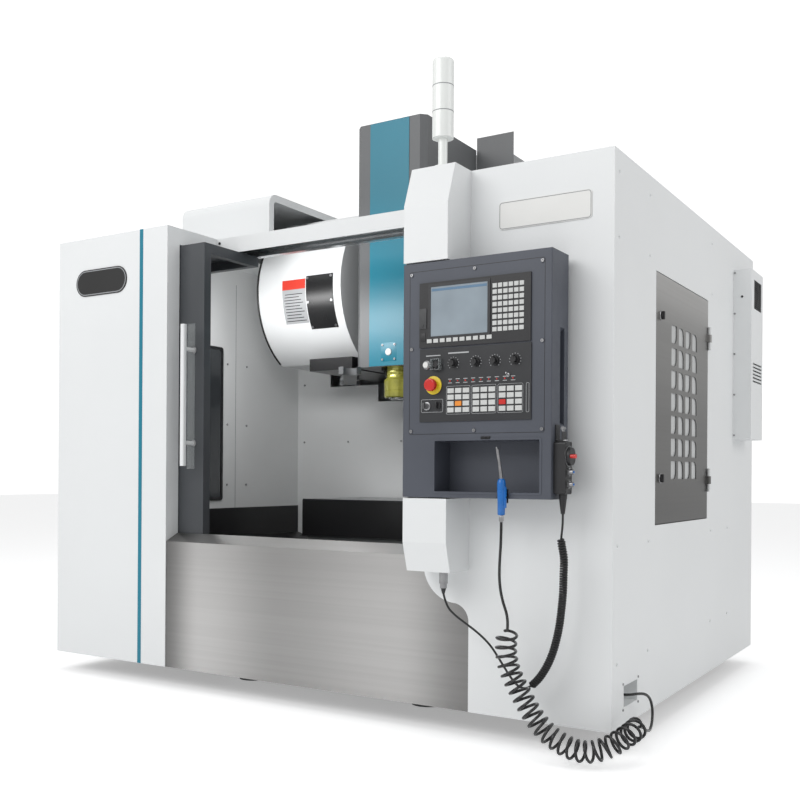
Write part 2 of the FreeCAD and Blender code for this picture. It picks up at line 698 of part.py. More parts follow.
def headCover():
    body = prism(headOutline(0, headRear), "z", headBottom, headTop)
    body = body.cut(block(-headHalf, headHalf, headFront + 123, headRear, headStepTop, headTop))
    inner = prism(headOutline(sheet, headRear), "z", headBottom + sheet, headTop - sheet)
    inner = inner.cut(block(-headHalf, headHalf, headFront + 120, headRear, headStepTop - sheet, headTop))
    body = body.cut(inner).cut(rod((0, spindleY, headBottom), (0, 0, 1), 75, sheet))
    return group(body, block(-98, 98, headFront - 2, headFront, headBottom + 2, headTop - 2))


def spindleHousing():
    body = rod((0, spindleY, noseEnd), (0, 0, 1), noseRadius, 84)
    body = body.fuse(rod((0, spindleY, noseEnd + 84), (0, 0, 1), 50, 51))
    body = body.fuse(rod((0, spindleY, headBottom), (0, 0, 1), 74, 3))
    body = body.fuse(rod((0, spindleY, headBottom), (0, 0, 1), shaftRadius + 6, 40))
    return body.cut(rod((0, spindleY, noseEnd), (0, 0, 1), shaftRadius + fit, 200)).removeSplitter()


def spindle():
    shaft = rod((0, spindleY, noseEnd - 5), (0, 0, 1), shaftRadius, 349)
    taper = Part.makeCone(22.2, 12, 70, V(0, spindleY, noseEnd - 5))
    drawbar = rod((0, spindleY, noseEnd + 65), (0, 0, 1), 10, 120)
    keys = [block(x, x + 8, spindleY - 8, spindleY + 8, noseEnd - 8, noseEnd - 5) for x in (-32, 24)]
    return joined(shaft.cut(taper.fuse(drawbar)), *keys)


# Tool magazine and changer

def magazineCover():
    x1 = 5 - changerReach
    x0 = x1 - drumWidth
    body = rod((x0, drumY, drumZ), (1, 0, 0), drumRadius, drumWidth)
    inner = rod((x0 + 3, drumY, drumZ), (1, 0, 0), drumRadius - 3, drumWidth - 6)
    low = block(x0 - 1, x1 + 1, drumY - 400, drumY + 400, drumZ - 400, drumCut)
    body = body.cut(low)
    inner = inner.cut(block(x0, x1, drumY - 400, drumY + 400, drumZ - 400, drumCut + 3))
    body = body.cut(inner).cut(block(x0 + 160, x0 + 290, drumY - 120, drumY + 120, drumCut, drumCut + 3))
    return group(joined(body, rod((x0 + 3, drumY, drumZ), (1, 0, 0), 20, 190)), accessPlate())


def accessPlate():
    ring = rod((-439, drumY, drumZ), (1, 0, 0), drumRadius + 3, 147)
    ring = ring.cut(rod((-439, drumY, drumZ), (1, 0, 0), drumRadius + 0.2, 147))
    return ring.common(block(-439, -292, drumY - 400, drumY, 1432, 1666))


def magazineDisc():
    x0 = 5 - changerReach - drumWidth
    body = rod((x0 + 120, drumY, drumZ), (1, 0, 0), 325, 24)
    body = body.fuse(rod((x0 + 3 + slideGap, drumY, drumZ), (1, 0, 0), 45, 180))
    pots = []
    bores = [rod((x0, drumY, drumZ), (1, 0, 0), 20 + fit, 200)]
    for i in range(potCount):
        angle = 2 * math.pi * i / potCount
        y, z = drumY + 283 * math.cos(angle), drumZ + 283 * math.sin(angle)
        pots.append(rod((x0 + 100, y, z), (1, 0, 0), 34, 90))
        bores.append(rod((x0 + 110, y, z), (1, 0, 0), 22, 80))
    return body.fuse(pots).cut(bores).removeSplitter()


def changerHousing():
    x0 = -changerReach - 165
    body = block(x0, -changerReach + 66, headFront, headRear - 6, drumCut - housingThick, drumCut)
    body = body.fuse(block(x0, -262, headRear - 6, 1420, drumCut - housingThick, drumCut))
    body = body.fuse(block(-262, -columnHalf, columnFront + 20, 1420, drumCut - housingThick, drumCut))
    bore = rod((-changerReach, spindleY, drumCut - housingThick), (0, 0, 1), 25 + fit, 50)
    return body.cut(bore).removeSplitter()


def changeArm():
    # Two open grippers on a bar, on the shaft that turns and lowers them.
    z0 = armTop - armThick
    body = block(-210, 210, -30, 30, z0, armTop)
    for side in (-1, 1):
        body = body.fuse(rod((side * changerReach, 0, z0), (0, 0, 1), 48, armThick))
    for side in (-1, 1):
        body = body.cut(rod((side * changerReach, 0, z0), (0, 0, 1), 31, armThick))
        body = body.cut(block(min(side * 255, side * 310), max(side * 255, side * 310), -28, 28, z0, armTop))
    body = body.fuse(rod((0, 0, z0), (0, 0, 1), 25, drumCut - 10 - z0))
    body = body.fuse(rod((0, 0, z0), (0, 0, 1), 42, armThick + 8))
    body = body.removeSplitter()
    body.Placement = FreeCAD.Placement(V(-changerReach, spindleY, 0), FreeCAD.Rotation(V(0, 0, 1), armAngle))
    return body


def magazineHood():
    x1 = -577
    x0 = x1 - hoodWidth
    top = guardHeight + hoodHeight
    back = hoodFront + hoodDepth

    def arch(inset, start, end, low):
        body = block(start, end, hoodFront + inset, back - inset, low, top - inset)
        edges = [e for e in body.Edges if abs(e.tangentAt(0).x) > 0.9 and e.BoundBox.ZMin > top - inset - 1]
        return body.makeFillet(hoodRadius - inset, edges)

    body = arch(0, x0, x1, guardHeight).cut(arch(sheet, x0 + sheet, x1 - sheet, guardHeight - 1))
    return body.cut(arch(33, x1 - sheet, x1, guardHeight))


# Cords

def cordWire(points):
    # Straight runs joined by tangent arcs, each as large as its two runs allow.
    edges, radii = [], []
    start = V(*points[0])
    for i in range(1, len(points) - 1):
        corner = V(*points[i])
        before = V(*points[i - 1]) - corner
        after = V(*points[i + 1]) - corner
        trim = 0.45 * min(before.Length, after.Length)
        turn = math.pi - before.getAngle(after)
        before.normalize()
        after.normalize()
        radii.append(trim / math.tan(turn / 2))
        first = corner + before * trim
        last = corner + after * trim
        centreWay = (before + after).normalize()
        sagitta = radii[-1] / math.cos(turn / 2) - radii[-1]
        edges.append(Part.LineSegment(start, first).toShape())
        edges.append(Part.Arc(first, corner + centreWay * sagitta, last).toShape())
        start = last
    edges.append(Part.LineSegment(start, V(*points[-1])).toShape())
    return Part.Wire(edges), radii


def cord(name, points, diameter):
    wire, radii = cordWire(points)
    way = V(*points[1]) - V(*points[0])
    ring = Part.Wire(Part.Circle(V(*points[0]), way, diameter / 2).toShape())
    tube = wire.makePipeShell([ring], True, False)
    share = tube.Volume / (math.pi * diameter ** 2 / 4 * wire.Length)
    print(name, "length", round(wire.Length), "volume share", round(share, 4),
          "radii", [round(r) for r in radii])
    return tube


# The air hose: down from the gun, through its coil round the corner, and into the side socket.
hoseTop = [(962, -170, 632.7), (962, -170, 575), (957, -169, 515), (955, -167, 455), (963, -164, 400),
           (980, -160, 352), (979, -156, 308)]
hoseCoil = [(979, -156, 308), (970, -152, 256), (975, -148, 205), (992, -143, 160), (1015, -139, 118),
            (1038, -135, 78), (1064, -131, 40), (1096, -128, 8), (1133, -126, -14), (1172, -125, -29),
            (1213, -123, -33), (1252, -115, -25), (1287, -93, -8), (1310, -56, 9), (1322, -12, 20),
            (1323, 34, 26)]
hoseEnd = [(1323, 34, 26), (1325, 77, 10), (1322, 121, -9), (1316, 165, -16), (1310, 205, 2), (1306, 221, 38),
           (1303, 207, 72), (1298, 177, 92), (1286, 146, 98), (1262, 125, 94), (1226, 121, 92)]

# The handwheel's cable: its curly stretch, and the lead back up to the plug.
cableCurl = [(1136, -112, 659.7), (1136, -112, 620), (1139, -112, 575), (1141, -111, 530), (1138, -109, 480),
             (1137, -108, 430), (1131, -105, 380), (1124, -102, 330), (1113, -99, 282), (1099, -96, 238), (1079, -93, 196), (1055, -90, 160),
             (1026, -88, 131)]
cableTail = [(1026, -88, 131), (1004, -87, 121), (980, -85, 126), (958, -83, 146), (936, -81, 173),
             (912, -80, 205), (882, -79, 243), (838, -78, 277), (792, -77, 303), (752, -76, 326),
             (722, -75, 352), (711, -75, 391)]

for name, points, diameter in (("air_hose", hoseTop, hoseDiameter), ("hose_coil", hoseCoil, hoseCoilDiameter),
                               ("hose_end", hoseEnd, hoseDiameter), ("cable_curl", cableCurl, curlDiameter),
                               ("cable_tail", cableTail, cableDiameter)):
    nodes[name] = cord(name, points, diameter)

nodes["base_bed"] = baseBed()
nodes["levelling_feet"] = levellingFeet()
nodes["column"] = column()
nodes["front_panels"] = frontPanels()
nodes["side_panels"] = sidePanels()
nodes["top_and_rear_panels"] = topAndRearPanels()
nodes["inner_walls"] = innerWalls()
nodes["chip_pan"] = chipPan()
nodes["front_apron"] = frontApron()
nodes["front_beam"] = frontBeam()
frame, pane = slidingDoor(left + 10, openLeft + doorShown, left + 90, openLeft - 11)
nodes["left_door"] = group(frame, pane, doorHandle())
frame, pane = slidingDoor(postLeft + 6, right - 6, postLeft + 138, right - 70)
nodes["right_door"] = group(frame, pane)
nodes["front_trims"] = frontTrims()
nodes["side_door"] = sideDoor()
nodes["side_latch_lower"] = sideLatch(767)
nodes["side_latch_upper"] = sideLatch(1322)
nodes["electrical_cabinet"] = electricalCabinet()
nodes["cabinet_door"] = cabinetDoor()
nodes["main_switch"] = mainSwitch()
nodes["cooler_unit"] = coolerUnit()
nodes["tower_light"] = towerLight()
nodes["post_covers"] = postCovers()
nodes["control_box"] = boxShell()
nodes["control_front_plate"] = boxFrontPlate()
nodes["display_unit"] = displayUnit()
nodes["operator_panel"] = operatorPanel()
nodes["panel_keys"] = panelKeys()
nodes["power_button"] = pushButton(buttonPlaces[0])
nodes["guarded_button"] = pushButton(buttonPlaces[1])
for i, place in enumerate(knobPlaces):
    nodes["panel_knob_" + str(i + 1)] = rotaryKnob(place)
nodes["emergency_stop"] = emergencyStop()
nodes["key_switch"] = keySwitch()
nodes["pendant_body"] = pendantBody()
nodes["pendant_wheel"] = pendantWheel()
nodes["axis_selector"] = pendantSelector(785)
nodes["step_selector"] = pendantSelector(748)
nodes["pendant_plug"] = pendantPlug()
nodes["air_gun"] = airGun()
nodes["saddle"] = saddle()
nodes["table"] = table()
nodes["y_screw"] = rod((0, bedFront, wayTop - 25), (0, 1, 0), screwRadius, backWall + 10 - bedFront)
nodes["x_screw"] = rod((-saddleHalf, tableY, saddleTop + 20), (1, 0, 0), 12, 2 * saddleHalf)
nodes["z_screw"] = rod((0, columnFront - 20, 880), (0, 0, 1), screwRadius, 1240)
nodes["head_casting"] = headCasting()
nodes["head_cover"] = headCover()
nodes["spindle_housing"] = spindleHousing()
nodes["spindle"] = spindle()
nodes["magazine_cover"] = magazineCover()
nodes["magazine_disc"] = magazineDisc()
nodes["changer_housing"] = changerHousing()
nodes["change_arm"] = changeArm()
nodes["magazine_hood"] = magazineHood()

# The origin goes to the middle of the footprint, on the floor. Free cords aren't counted.
cordNodes = ["air_hose", "hose_coil", "hose_end", "cable_curl", "cable_tail", "pendant_plug", "air_gun"]
whole = FreeCAD.BoundBox()
for name, shape in nodes.items():
    if name not in cordNodes:
        for part in shape.Solids:
            whole.add(part.optimalBoundingBox(False))
origin = V(whole.Center.x, whole.Center.y, whole.ZMin)

os.makedirs("parts", exist_ok=True)
for name, shape in nodes.items():
    shape.translate(-origin)
    shape.exportStep("parts/" + name + ".step")
print("nodes", len(nodes), "origin", origin, "size", whole.XLength, whole.YLength, whole.ZLength)
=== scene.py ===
import bpy
import bmesh
import math
from mathutils import Matrix, Vector


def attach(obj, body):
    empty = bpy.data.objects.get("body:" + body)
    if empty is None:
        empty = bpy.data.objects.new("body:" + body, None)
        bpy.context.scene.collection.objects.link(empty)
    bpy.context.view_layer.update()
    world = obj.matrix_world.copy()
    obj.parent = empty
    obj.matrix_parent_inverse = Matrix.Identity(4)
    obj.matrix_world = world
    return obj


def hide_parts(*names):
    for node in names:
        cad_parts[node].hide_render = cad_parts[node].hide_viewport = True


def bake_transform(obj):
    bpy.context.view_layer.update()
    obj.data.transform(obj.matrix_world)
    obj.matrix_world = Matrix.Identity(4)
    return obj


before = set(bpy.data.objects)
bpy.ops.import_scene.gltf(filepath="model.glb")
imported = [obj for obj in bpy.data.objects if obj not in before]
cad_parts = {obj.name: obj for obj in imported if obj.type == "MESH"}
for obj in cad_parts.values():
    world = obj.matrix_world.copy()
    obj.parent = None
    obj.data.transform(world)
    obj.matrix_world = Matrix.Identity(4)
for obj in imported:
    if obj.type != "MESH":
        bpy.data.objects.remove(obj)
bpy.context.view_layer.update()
print("frame loaded:", len(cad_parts), "nodes")

# Sizes are in millimetres from the guard's front lower edge, under the spindle.
# at() gives metres in the frame.
guardOrigin = Vector((37.5, 850.5, -80.0))
guard = {"left": -1250, "right": 1250, "depth": 1862, "height": 1767, "openLeft": -604, "openRight": 763}
controlBox = {"left": 602, "right": 1116, "face": -155, "back": -28, "bottom": 703, "top": 1447}


def at(x, y, z):
    return (Vector((x, y, z)) - guardOrigin) / 1000


def inGuard(point):
    return Vector(point) * 1000 + guardOrigin


# Camera, light and floor

view = {"place": (2267, -2852, 775), "turn": 31.83, "roll": 0.361, "lens": 44.33, "shift": 0.0929}


def makeCamera():
    data = bpy.data.cameras.new("viewCamera")
    data.lens = view["lens"]
    data.sensor_width = 36
    data.shift_y = view["shift"]
    data.clip_end = 60
    camera = bpy.data.objects.new("viewCamera", data)
    camera.location = at(*view["place"])
    turn = Matrix.Rotation(math.radians(view["turn"]), 4, "Z") @ Matrix.Rotation(math.radians(90), 4, "X")
    roll = Matrix.Rotation(math.radians(view["roll"]), 4, "Z")
    camera.rotation_euler = (turn @ roll).to_euler()
    bpy.context.scene.collection.objects.link(camera)
    bpy.context.scene.camera = camera


studio = {"world": 0.66, "backdrop": 1.35, "front": 175, "side": 72, "top": 100, "inside": 5,
          "floor": (0.95, 0.955, 0.96), "floorGlow": 0.42, "exposure": -0.24}


def makeLight(name, place, target, size, power):
    data = bpy.data.lights.new(name, "AREA")
    data.shape = "RECTANGLE"
    data.size, data.size_y = size
    data.energy = power
    lamp = bpy.data.objects.new(name, data)
    lamp.location = place
    lamp.rotation_euler = (Vector(target) - Vector(place)).to_track_quat("-Z", "Y").to_euler()
    lamp.visible_camera = False
    bpy.context.scene.collection.objects.link(lamp)


def makeStudio():
    world = bpy.data.worlds.new("studioWorld")
    world.use_nodes = True
    # The backdrop is plain white to the camera, and softer where it lights the machine.
    nodes, link = world.node_tree.nodes, world.node_tree.links.new
    nodes["Background"].inputs["Color"].default_value = (1, 1, 1, 1)
    path, strength = nodes.new("ShaderNodeLightPath"), nodes.new("ShaderNodeMapRange")
    strength.inputs["To Min"].default_value = studio["world"]
    strength.inputs["To Max"].default_value = studio["backdrop"]
    link(path.outputs["Is Camera Ray"], strength.inputs["Value"])
    link(strength.outputs["Result"], nodes["Background"].inputs["Strength"])
    bpy.context.scene.world = world
    bpy.context.scene.view_settings.view_transform = "Standard"
    bpy.context.scene.view_settings.exposure = studio["exposure"]
    makeLight("frontLight", (-1.5, -5.5, 4.2), (0, 0, 1), (5, 3), studio["front"])
    makeLight("sideLight", (6, 0.5, 3.5), (0, 0, 1), (4, 3), studio["side"])
    makeLight("topLight", (0, 0, 6), (0, 0, 0), (5, 5), studio["top"])
    makeLight("insideLight", (-0.5, -0.6, 1.6), (-0.4, 0.45, 0.8), (0.7, 0.15), studio["inside"])
    mesh = bpy.data.meshes.new("studioFloor")
    mesh.from_pydata([(-30, -30, 0), (30, -30, 0), (30, 30, 0), (-30, 30, 0)], [], [(0, 1, 2, 3)])
    floor = bpy.data.objects.new("studioFloor", mesh)
    bpy.context.scene.collection.objects.link(floor)
    paper = bpy.data.materials.new("floorPaper")
    paper.use_nodes = True
    shader = paper.node_tree.nodes["Principled BSDF"]
    shader.inputs["Base Color"].default_value = (*studio["floor"], 1)
    shader.inputs["Roughness"].default_value = 0.9
    # Paper glows a little to the camera alone, so that it meets the backdrop without an edge.
    nodes, link = paper.node_tree.nodes, paper.node_tree.links.new
    path, glow = nodes.new("ShaderNodeLightPath"), nodes.new("ShaderNodeMath")
    glow.operation = "MULTIPLY"
    glow.inputs[1].default_value = studio["floorGlow"]
    shader.inputs["Emission Color"].default_value = (1, 1, 1, 1)
    link(path.outputs["Is Camera Ray"], glow.inputs[0])
    link(glow.outputs["Value"], shader.inputs["Emission Strength"])
    mesh.materials.append(paper)


makeCamera()
makeStudio()
print("camera and studio made")


# Finishes

def finish(name, colour, rough, metal=0.0, grain=(300, 0.1), mottle=(3, 0.03), stretch=(1, 1, 1),
           roughSpread=0.06, coat=0.0):
    # Colour mottle, roughness spread and bump, all read from noise on the piece's own coordinates.
    material = bpy.data.materials.new(name)
    material.use_nodes = True
    material.diffuse_color = (*colour, 1)
    tree = material.node_tree
    shader = tree.nodes["Principled BSDF"]
    shader.inputs["Metallic"].default_value = metal
    shader.inputs["Coat Weight"].default_value = coat
    place = tree.nodes.new("ShaderNodeTexCoord")
    scale = tree.nodes.new("ShaderNodeMapping")
    scale.inputs["Scale"].default_value = stretch
    tree.links.new(place.outputs["Object"], scale.inputs["Vector"])

    def noise(size, detail):
        node = tree.nodes.new("ShaderNodeTexNoise")
        node.inputs["Scale"].default_value = size
        node.inputs["Detail"].default_value = detail
        tree.links.new(scale.outputs["Vector"], node.inputs["Vector"])
        return node.outputs["Fac"]

    other = tuple(max(0, c * (1 - mottle[1] * 2.5)) for c in colour)
    ramp = tree.nodes.new("ShaderNodeValToRGB")
    ramp.color_ramp.elements[0].position = 0.35
    ramp.color_ramp.elements[0].color = (*other, 1)
    ramp.color_ramp.elements[1].position = 0.65
    ramp.color_ramp.elements[1].color = (*colour, 1)
    tree.links.new(noise(mottle[0], 3), ramp.inputs["Fac"])
    tree.links.new(ramp.outputs["Color"], shader.inputs["Base Color"])
    fine = noise(grain[0], 2)
    spread = tree.nodes.new("ShaderNodeMapRange")
    spread.inputs["To Min"].default_value = max(0.02, rough - roughSpread)
    spread.inputs["To Max"].default_value = min(1, rough + roughSpread)
    tree.links.new(fine, spread.inputs["Value"])
    tree.links.new(spread.outputs["Result"], shader.inputs["Roughness"])
    bump = tree.nodes.new("ShaderNodeBump")
    bump.inputs["Strength"].default_value = grain[1]
    bump.inputs["Distance"].default_value = 0.0005
    tree.links.new(fine, bump.inputs["Height"])
    tree.links.new(bump.outputs["Normal"], shader.inputs["Normal"])
    return material


def shade(material, axis, low, high, stops):
    # Darkens or lightens the colour along an axis of the frame: painted shade and painted reflections, as a
    # sheet shows under uneven light.
    tree = material.node_tree
    shader = tree.nodes["Principled BSDF"]
    colour = shader.inputs["Base Color"].links[0].from_socket
    place, split = tree.nodes.new("ShaderNodeTexCoord"), tree.nodes.new("ShaderNodeSeparateXYZ")
    span, ramp = tree.nodes.new("ShaderNodeMapRange"), tree.nodes.new("ShaderNodeValToRGB")
    mix = tree.nodes.new("ShaderNodeVectorMath")
    mix.operation = "MULTIPLY"
    span.inputs["From Min"].default_value = low
    span.inputs["From Max"].default_value = high
    ramp.color_ramp.interpolation = "EASE"
    ramp.color_ramp.elements[0].color = (stops[0][1],) * 3 + (1,)
    ramp.color_ramp.elements[1].color = (stops[-1][1],) * 3 + (1,)
    for spot, value in stops[1:-1]:
        ramp.color_ramp.elements.new(spot).color = (value, value, value, 1)
    tree.links.new(place.outputs["Object"], split.inputs["Vector"])
    tree.links.new(split.outputs[axis], span.inputs["Value"])
    tree.links.new(span.outputs["Result"], ramp.inputs["Fac"])
    tree.links.new(colour, mix.inputs[0])
    tree.links.new(ramp.outputs["Color"], mix.inputs[1])
    tree.links.new(mix.outputs["Vector"], shader.inputs["Base Color"])


def clearFinish(name, colour, rough, weight):
    material = finish(name, colour, rough, grain=(60, 0.03))
    shader = material.node_tree.nodes["Principled BSDF"]
    shader.inputs["Transmission Weight"].default_value = weight
    shader.inputs["IOR"].default_value = 1.3
    return material


whitePaint = finish("whitePaint", (0.80, 0.815, 0.82), 0.42, grain=(420, 0.22), mottle=(1.5, 0.01))
innerWhite = finish("innerWhite", (0.78, 0.79, 0.79), 0.5, grain=(420, 0.2), mottle=(2, 0.02))
boxPaint = finish("boxPaint", (0.075, 0.083, 0.105), 0.45, grain=(500, 0.3), mottle=(4, 0.05))
doorPaint = finish("doorPaint", (0.06, 0.065, 0.072), 0.45, grain=(500, 0.25), mottle=(4, 0.05))
blackPaint = finish("blackPaint", (0.012, 0.012, 0.013), 0.3, grain=(300, 0.2), mottle=(5, 0.1))
greyPaint = finish("greyPaint", (0.14, 0.145, 0.15), 0.42, grain=(400, 0.22), mottle=(3, 0.04))
tealPaint = finish("tealPaint", (0.004, 0.20, 0.29), 0.35, grain=(420, 0.2), mottle=(2, 0.03))
castPaint = finish("castPaint", (0.33, 0.34, 0.345), 0.55, grain=(180, 0.5), mottle=(8, 0.06))
stainless = finish("stainless", (0.62, 0.61, 0.6), 0.34, metal=1.0, grain=(90, 0.04), mottle=(2, 0.02),
                   stretch=(0.3, 8, 40), roughSpread=0.08)
# The side door's stainless is a darker copy of the front's: the darker colour is painted shade.
shadedSideStainless = finish("shadedSideStainless", (0.5, 0.495, 0.485), 0.34, metal=1.0, grain=(90, 0.04),
                       mottle=(2, 0.02),
                       stretch=(8, 0.3, 40), roughSpread=0.06)
# Painted reflections and shade on the front apron: dark at both ends, brightest near the left, paler again
# towards the right.
shade(stainless, "X", -0.642, 0.726, ((0, 0.36), (0.13, 1.0), (0.42, 0.62), (0.8, 0.88), (1, 0.42)))
# Painted shade and painted highlight up the side door: dark at its foot, brighter than its own colour at its
# top.
shade(shadedSideStainless, "Z", 0.69, 1.545, ((0, 0.3), (0.35, 0.42), (0.75, 0.62), (1, 1.1)))
groundSteel = finish("groundSteel", (0.55, 0.56, 0.57), 0.28, metal=1.0, grain=(60, 0.1), mottle=(20, 0.06),
                     stretch=(0.5, 12, 12))
screwSteel = finish("screwSteel", (0.42, 0.42, 0.43), 0.3, metal=1.0, grain=(900, 0.1), mottle=(40, 0.1))
blackScrew = finish("blackScrew", (0.03, 0.03, 0.032), 0.35, metal=0.6, grain=(900, 0.1), mottle=(40, 0.1))
oilySteel = finish("oilySteel", (0.52, 0.50, 0.09), 0.16, metal=0.35, grain=(30, 0.15),
                   mottle=(25, 0.12), coat=0.6)
blackPlastic = finish("blackPlastic", (0.02, 0.02, 0.022), 0.42, grain=(900, 0.25), mottle=(20, 0.08))
panelPlastic = finish("panelPlastic", (0.026, 0.027, 0.03), 0.38, grain=(1200, 0.2), mottle=(10, 0.05))
darkKey = finish("darkKey", (0.055, 0.057, 0.06), 0.5, grain=(900, 0.2), mottle=(60, 0.05))
paleKey = finish("paleKey", (0.62, 0.63, 0.62), 0.5, grain=(900, 0.2), mottle=(60, 0.03))
orangeKey = finish("orangeKey", (0.85, 0.28, 0.03), 0.45, grain=(900, 0.2), mottle=(60, 0.04))
redPlastic = finish("redPlastic", (0.62, 0.02, 0.015), 0.25, grain=(600, 0.08), mottle=(30, 0.05), coat=0.4)
yellowPlastic = finish("yellowPlastic", (0.8, 0.6, 0.02), 0.4, grain=(600, 0.1), mottle=(30, 0.04))
bluePlastic = finish("bluePlastic", (0.005, 0.15, 0.52), 0.28, grain=(500, 0.1),
                     mottle=(30, 0.06), coat=0.3)
lensPlastic = finish("lensPlastic", (0.84, 0.86, 0.84), 0.22, grain=(200, 0.06), mottle=(4, 0.02), coat=0.3)
hoseRubber = finish("hoseRubber", (0.011, 0.011, 0.012), 0.22, grain=(400, 0.06),
                    mottle=(30, 0.1), coat=0.25)
cableRubber = finish("cableRubber", (0.012, 0.012, 0.013), 0.45, grain=(700, 0.2), mottle=(30, 0.1))
labelWhite = finish("labelWhite", (0.78, 0.78, 0.76), 0.35, grain=(300, 0.05), mottle=(6, 0.01))
labelRed = finish("labelRed", (0.7, 0.05, 0.03), 0.35, grain=(300, 0.05), mottle=(6, 0.02))
labelBlack = finish("labelBlack", (0.02, 0.02, 0.02), 0.35, grain=(300, 0.05), mottle=(6, 0.05))
screenGlass = finish("screenGlass", (0.32, 0.38, 0.43), 0.12, grain=(20, 0.02), mottle=(5, 0.08), coat=0.5)
whiteLine = finish("whiteLine", (0.5, 0.51, 0.52), 0.5, grain=(400, 0.05), mottle=(10, 0.02))
windowGlass = clearFinish("windowGlass", (0.55, 0.58, 0.58), 0.06, 0.85)
clearPlastic = clearFinish("clearPlastic", (0.8, 0.84, 0.85), 0.08, 0.8)
greyLabel = finish("greyLabel", (0.42, 0.43, 0.44), 0.4, grain=(300, 0.05), mottle=(6, 0.02))
screenBlue = finish("screenBlue", (0.12, 0.22, 0.34), 0.2, grain=(20, 0.02), mottle=(5, 0.03), coat=0.5)
darkGlass = finish("darkGlass", (0.05, 0.055, 0.06), 0.12, grain=(20, 0.02), mottle=(3, 0.05), coat=0.6)
seamGrey = finish("seamGrey", (0.3, 0.31, 0.32), 0.5, grain=(300, 0.1), mottle=(3, 0.03))
slotBack = finish("slotBack", (0.55, 0.56, 0.56), 0.5, grain=(300, 0.1), mottle=(3, 0.03))


def paint(node, *rules):
    # One finish on a CAD node, or several by the place of each face. The last rule is the rest.
    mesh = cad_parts[node].data
    mesh.materials.clear()
    for material, _ in rules:
        mesh.materials.append(material)
    if len(rules) > 1:
        for face in mesh.polygons:
            spot = inGuard(face.center)
            face.material_index = next((i for i, rule in enumerate(rules) if rule[1] and rule[1](spot)),
                                       len(rules) - 1)


plainFinishes = {
    "base_bed": castPaint, "levelling_feet": castPaint, "column": castPaint, "front_panels": whitePaint,
    "chip_pan": blackPaint, "front_apron": stainless, "electrical_cabinet": castPaint,
    "cabinet_door": whitePaint, "tower_light": lensPlastic, "post_covers": whitePaint,
    "changer_housing": blackPaint, "magazine_hood": whitePaint, "side_latch_lower": blackPlastic,
    "side_latch_upper": blackPlastic, "saddle": castPaint, "x_screw": groundSteel, "y_screw": groundSteel,
    "z_screw": groundSteel, "head_casting": castPaint, "spindle": groundSteel, "change_arm": greyPaint,
    "control_box": boxPaint, "control_front_plate": boxPaint, "operator_panel": panelPlastic,
    "power_button": labelWhite, "guarded_button": blackPlastic, "key_switch": screwSteel,
    "panel_knob_1": blackPlastic, "panel_knob_2": blackPlastic, "panel_knob_3": blackPlastic,
    "panel_knob_4": blackPlastic, "axis_selector": screwSteel, "step_selector": screwSteel,
    "pendant_body": blackPlastic, "magazine_disc": greyPaint}
for node, material in plainFinishes.items():
    paint(node, (material, None))
right = guard["right"]
paint("side_panels", (screwSteel, lambda p: p.x > right - 61 and math.hypot(p.y - 121, p.z - 92) < 9.6),
      (whitePaint, None))
paint("top_and_rear_panels",
      (greyPaint, lambda p: p.z > 1768 or abs(p.x) < 354 and 1160 < p.y < 1501), (whitePaint, None))
paint("inner_walls", (innerWhite, None))
paint("front_beam", (groundSteel, lambda p: 403.2 < p.y < 427.1 and p.z < 1730), (whitePaint, None))
paint("front_trims", (tealPaint, lambda p: p.y > -1.1 and p.x > -765 and p.x < -730),
      (labelBlack, lambda p: p.x < -780), (labelWhite, None))
paint("left_door", (whitePaint, lambda p: p.y < 60),
      (windowGlass, lambda p: 87 < p.y < 93 and -1151 < p.x < -614 and 775 < p.z < 1502),
      (doorPaint, None))
paint("right_door", (windowGlass, lambda p: 87 < p.y < 93 and 745 < p.x < 1190 and 775 < p.z < 1502),
      (doorPaint, None))
paint("side_door", (shadedSideStainless, None))
paint("main_switch", (redPlastic, lambda p: p.y > 1868), (yellowPlastic, lambda p: p.y > 1861),
      (screwSteel, None))
paint("cooler_unit", (whitePaint, None))
paint("table", (blackPaint, lambda p: p.y < 761 or p.y > 1260.5), (groundSteel, lambda p: p.z > 625),
      (castPaint, None))
paint("head_cover", (tealPaint, lambda p: p.y < 699.9 and abs(p.x) < 99), (greyPaint, None))
paint("spindle_housing", (oilySteel, lambda p: p.z < 1190.5), (groundSteel, None))
paint("magazine_cover", (blackPaint, lambda p: -440 < p.x < -291 and p.y < 1000 and
                         math.hypot(p.y - 1080, p.z - 1620) > 385.05), (whitePaint, None))
paint("display_unit", (blackPlastic, None))
paint("emergency_stop", (redPlastic, lambda p: p.y < -173), (screwSteel, None))
paint("pendant_wheel", (redPlastic, lambda p: p.x > 1165.4 and p.y < -118), (blackPlastic, None))
paint("pendant_plug", (blackPlastic, lambda p: p.z < 409), (screwSteel, None))
paint("air_gun", (screwSteel, lambda p: p.z > 760 or p.z < 654.5), (bluePlastic, None))
paint("panel_keys", (orangeKey, lambda p: 796 < p.x < 820 and 988 < p.z < 1005),
      (redPlastic, lambda p: 948 < p.x < 972 and 988 < p.z < 1005), (paleKey, None))
print("finishes on", len(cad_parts), "nodes")


# Mesh makers. Points are in guard millimetres.

def newPiece(name, verts, faces, material, body, smooth=True):
    mesh = bpy.data.meshes.new(name)
    mesh.from_pydata([at(*v) for v in verts], [], faces)
    shape = bmesh.new()
    shape.from_mesh(mesh)
    bmesh.ops.remove_doubles(shape, verts=shape.verts, dist=1e-6)
    bmesh.ops.recalc_face_normals(shape, faces=shape.faces)
    shape.to_mesh(mesh)
    shape.free()
    piece = bpy.data.objects.new(name, mesh)
    bpy.context.scene.collection.objects.link(piece)
    mesh.materials.append(material)
    if smooth:
        mesh.shade_smooth()
        mesh.set_sharp_from_angle(angle=math.radians(35))
    if body:
        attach(piece, body)
    return piece


def joinShapes(*shapes):
    verts, faces = [], []
    for points, rings in shapes:
        start = len(verts)
        verts += points
        faces += [tuple(i + start for i in ring) for ring in rings]
    return verts, faces


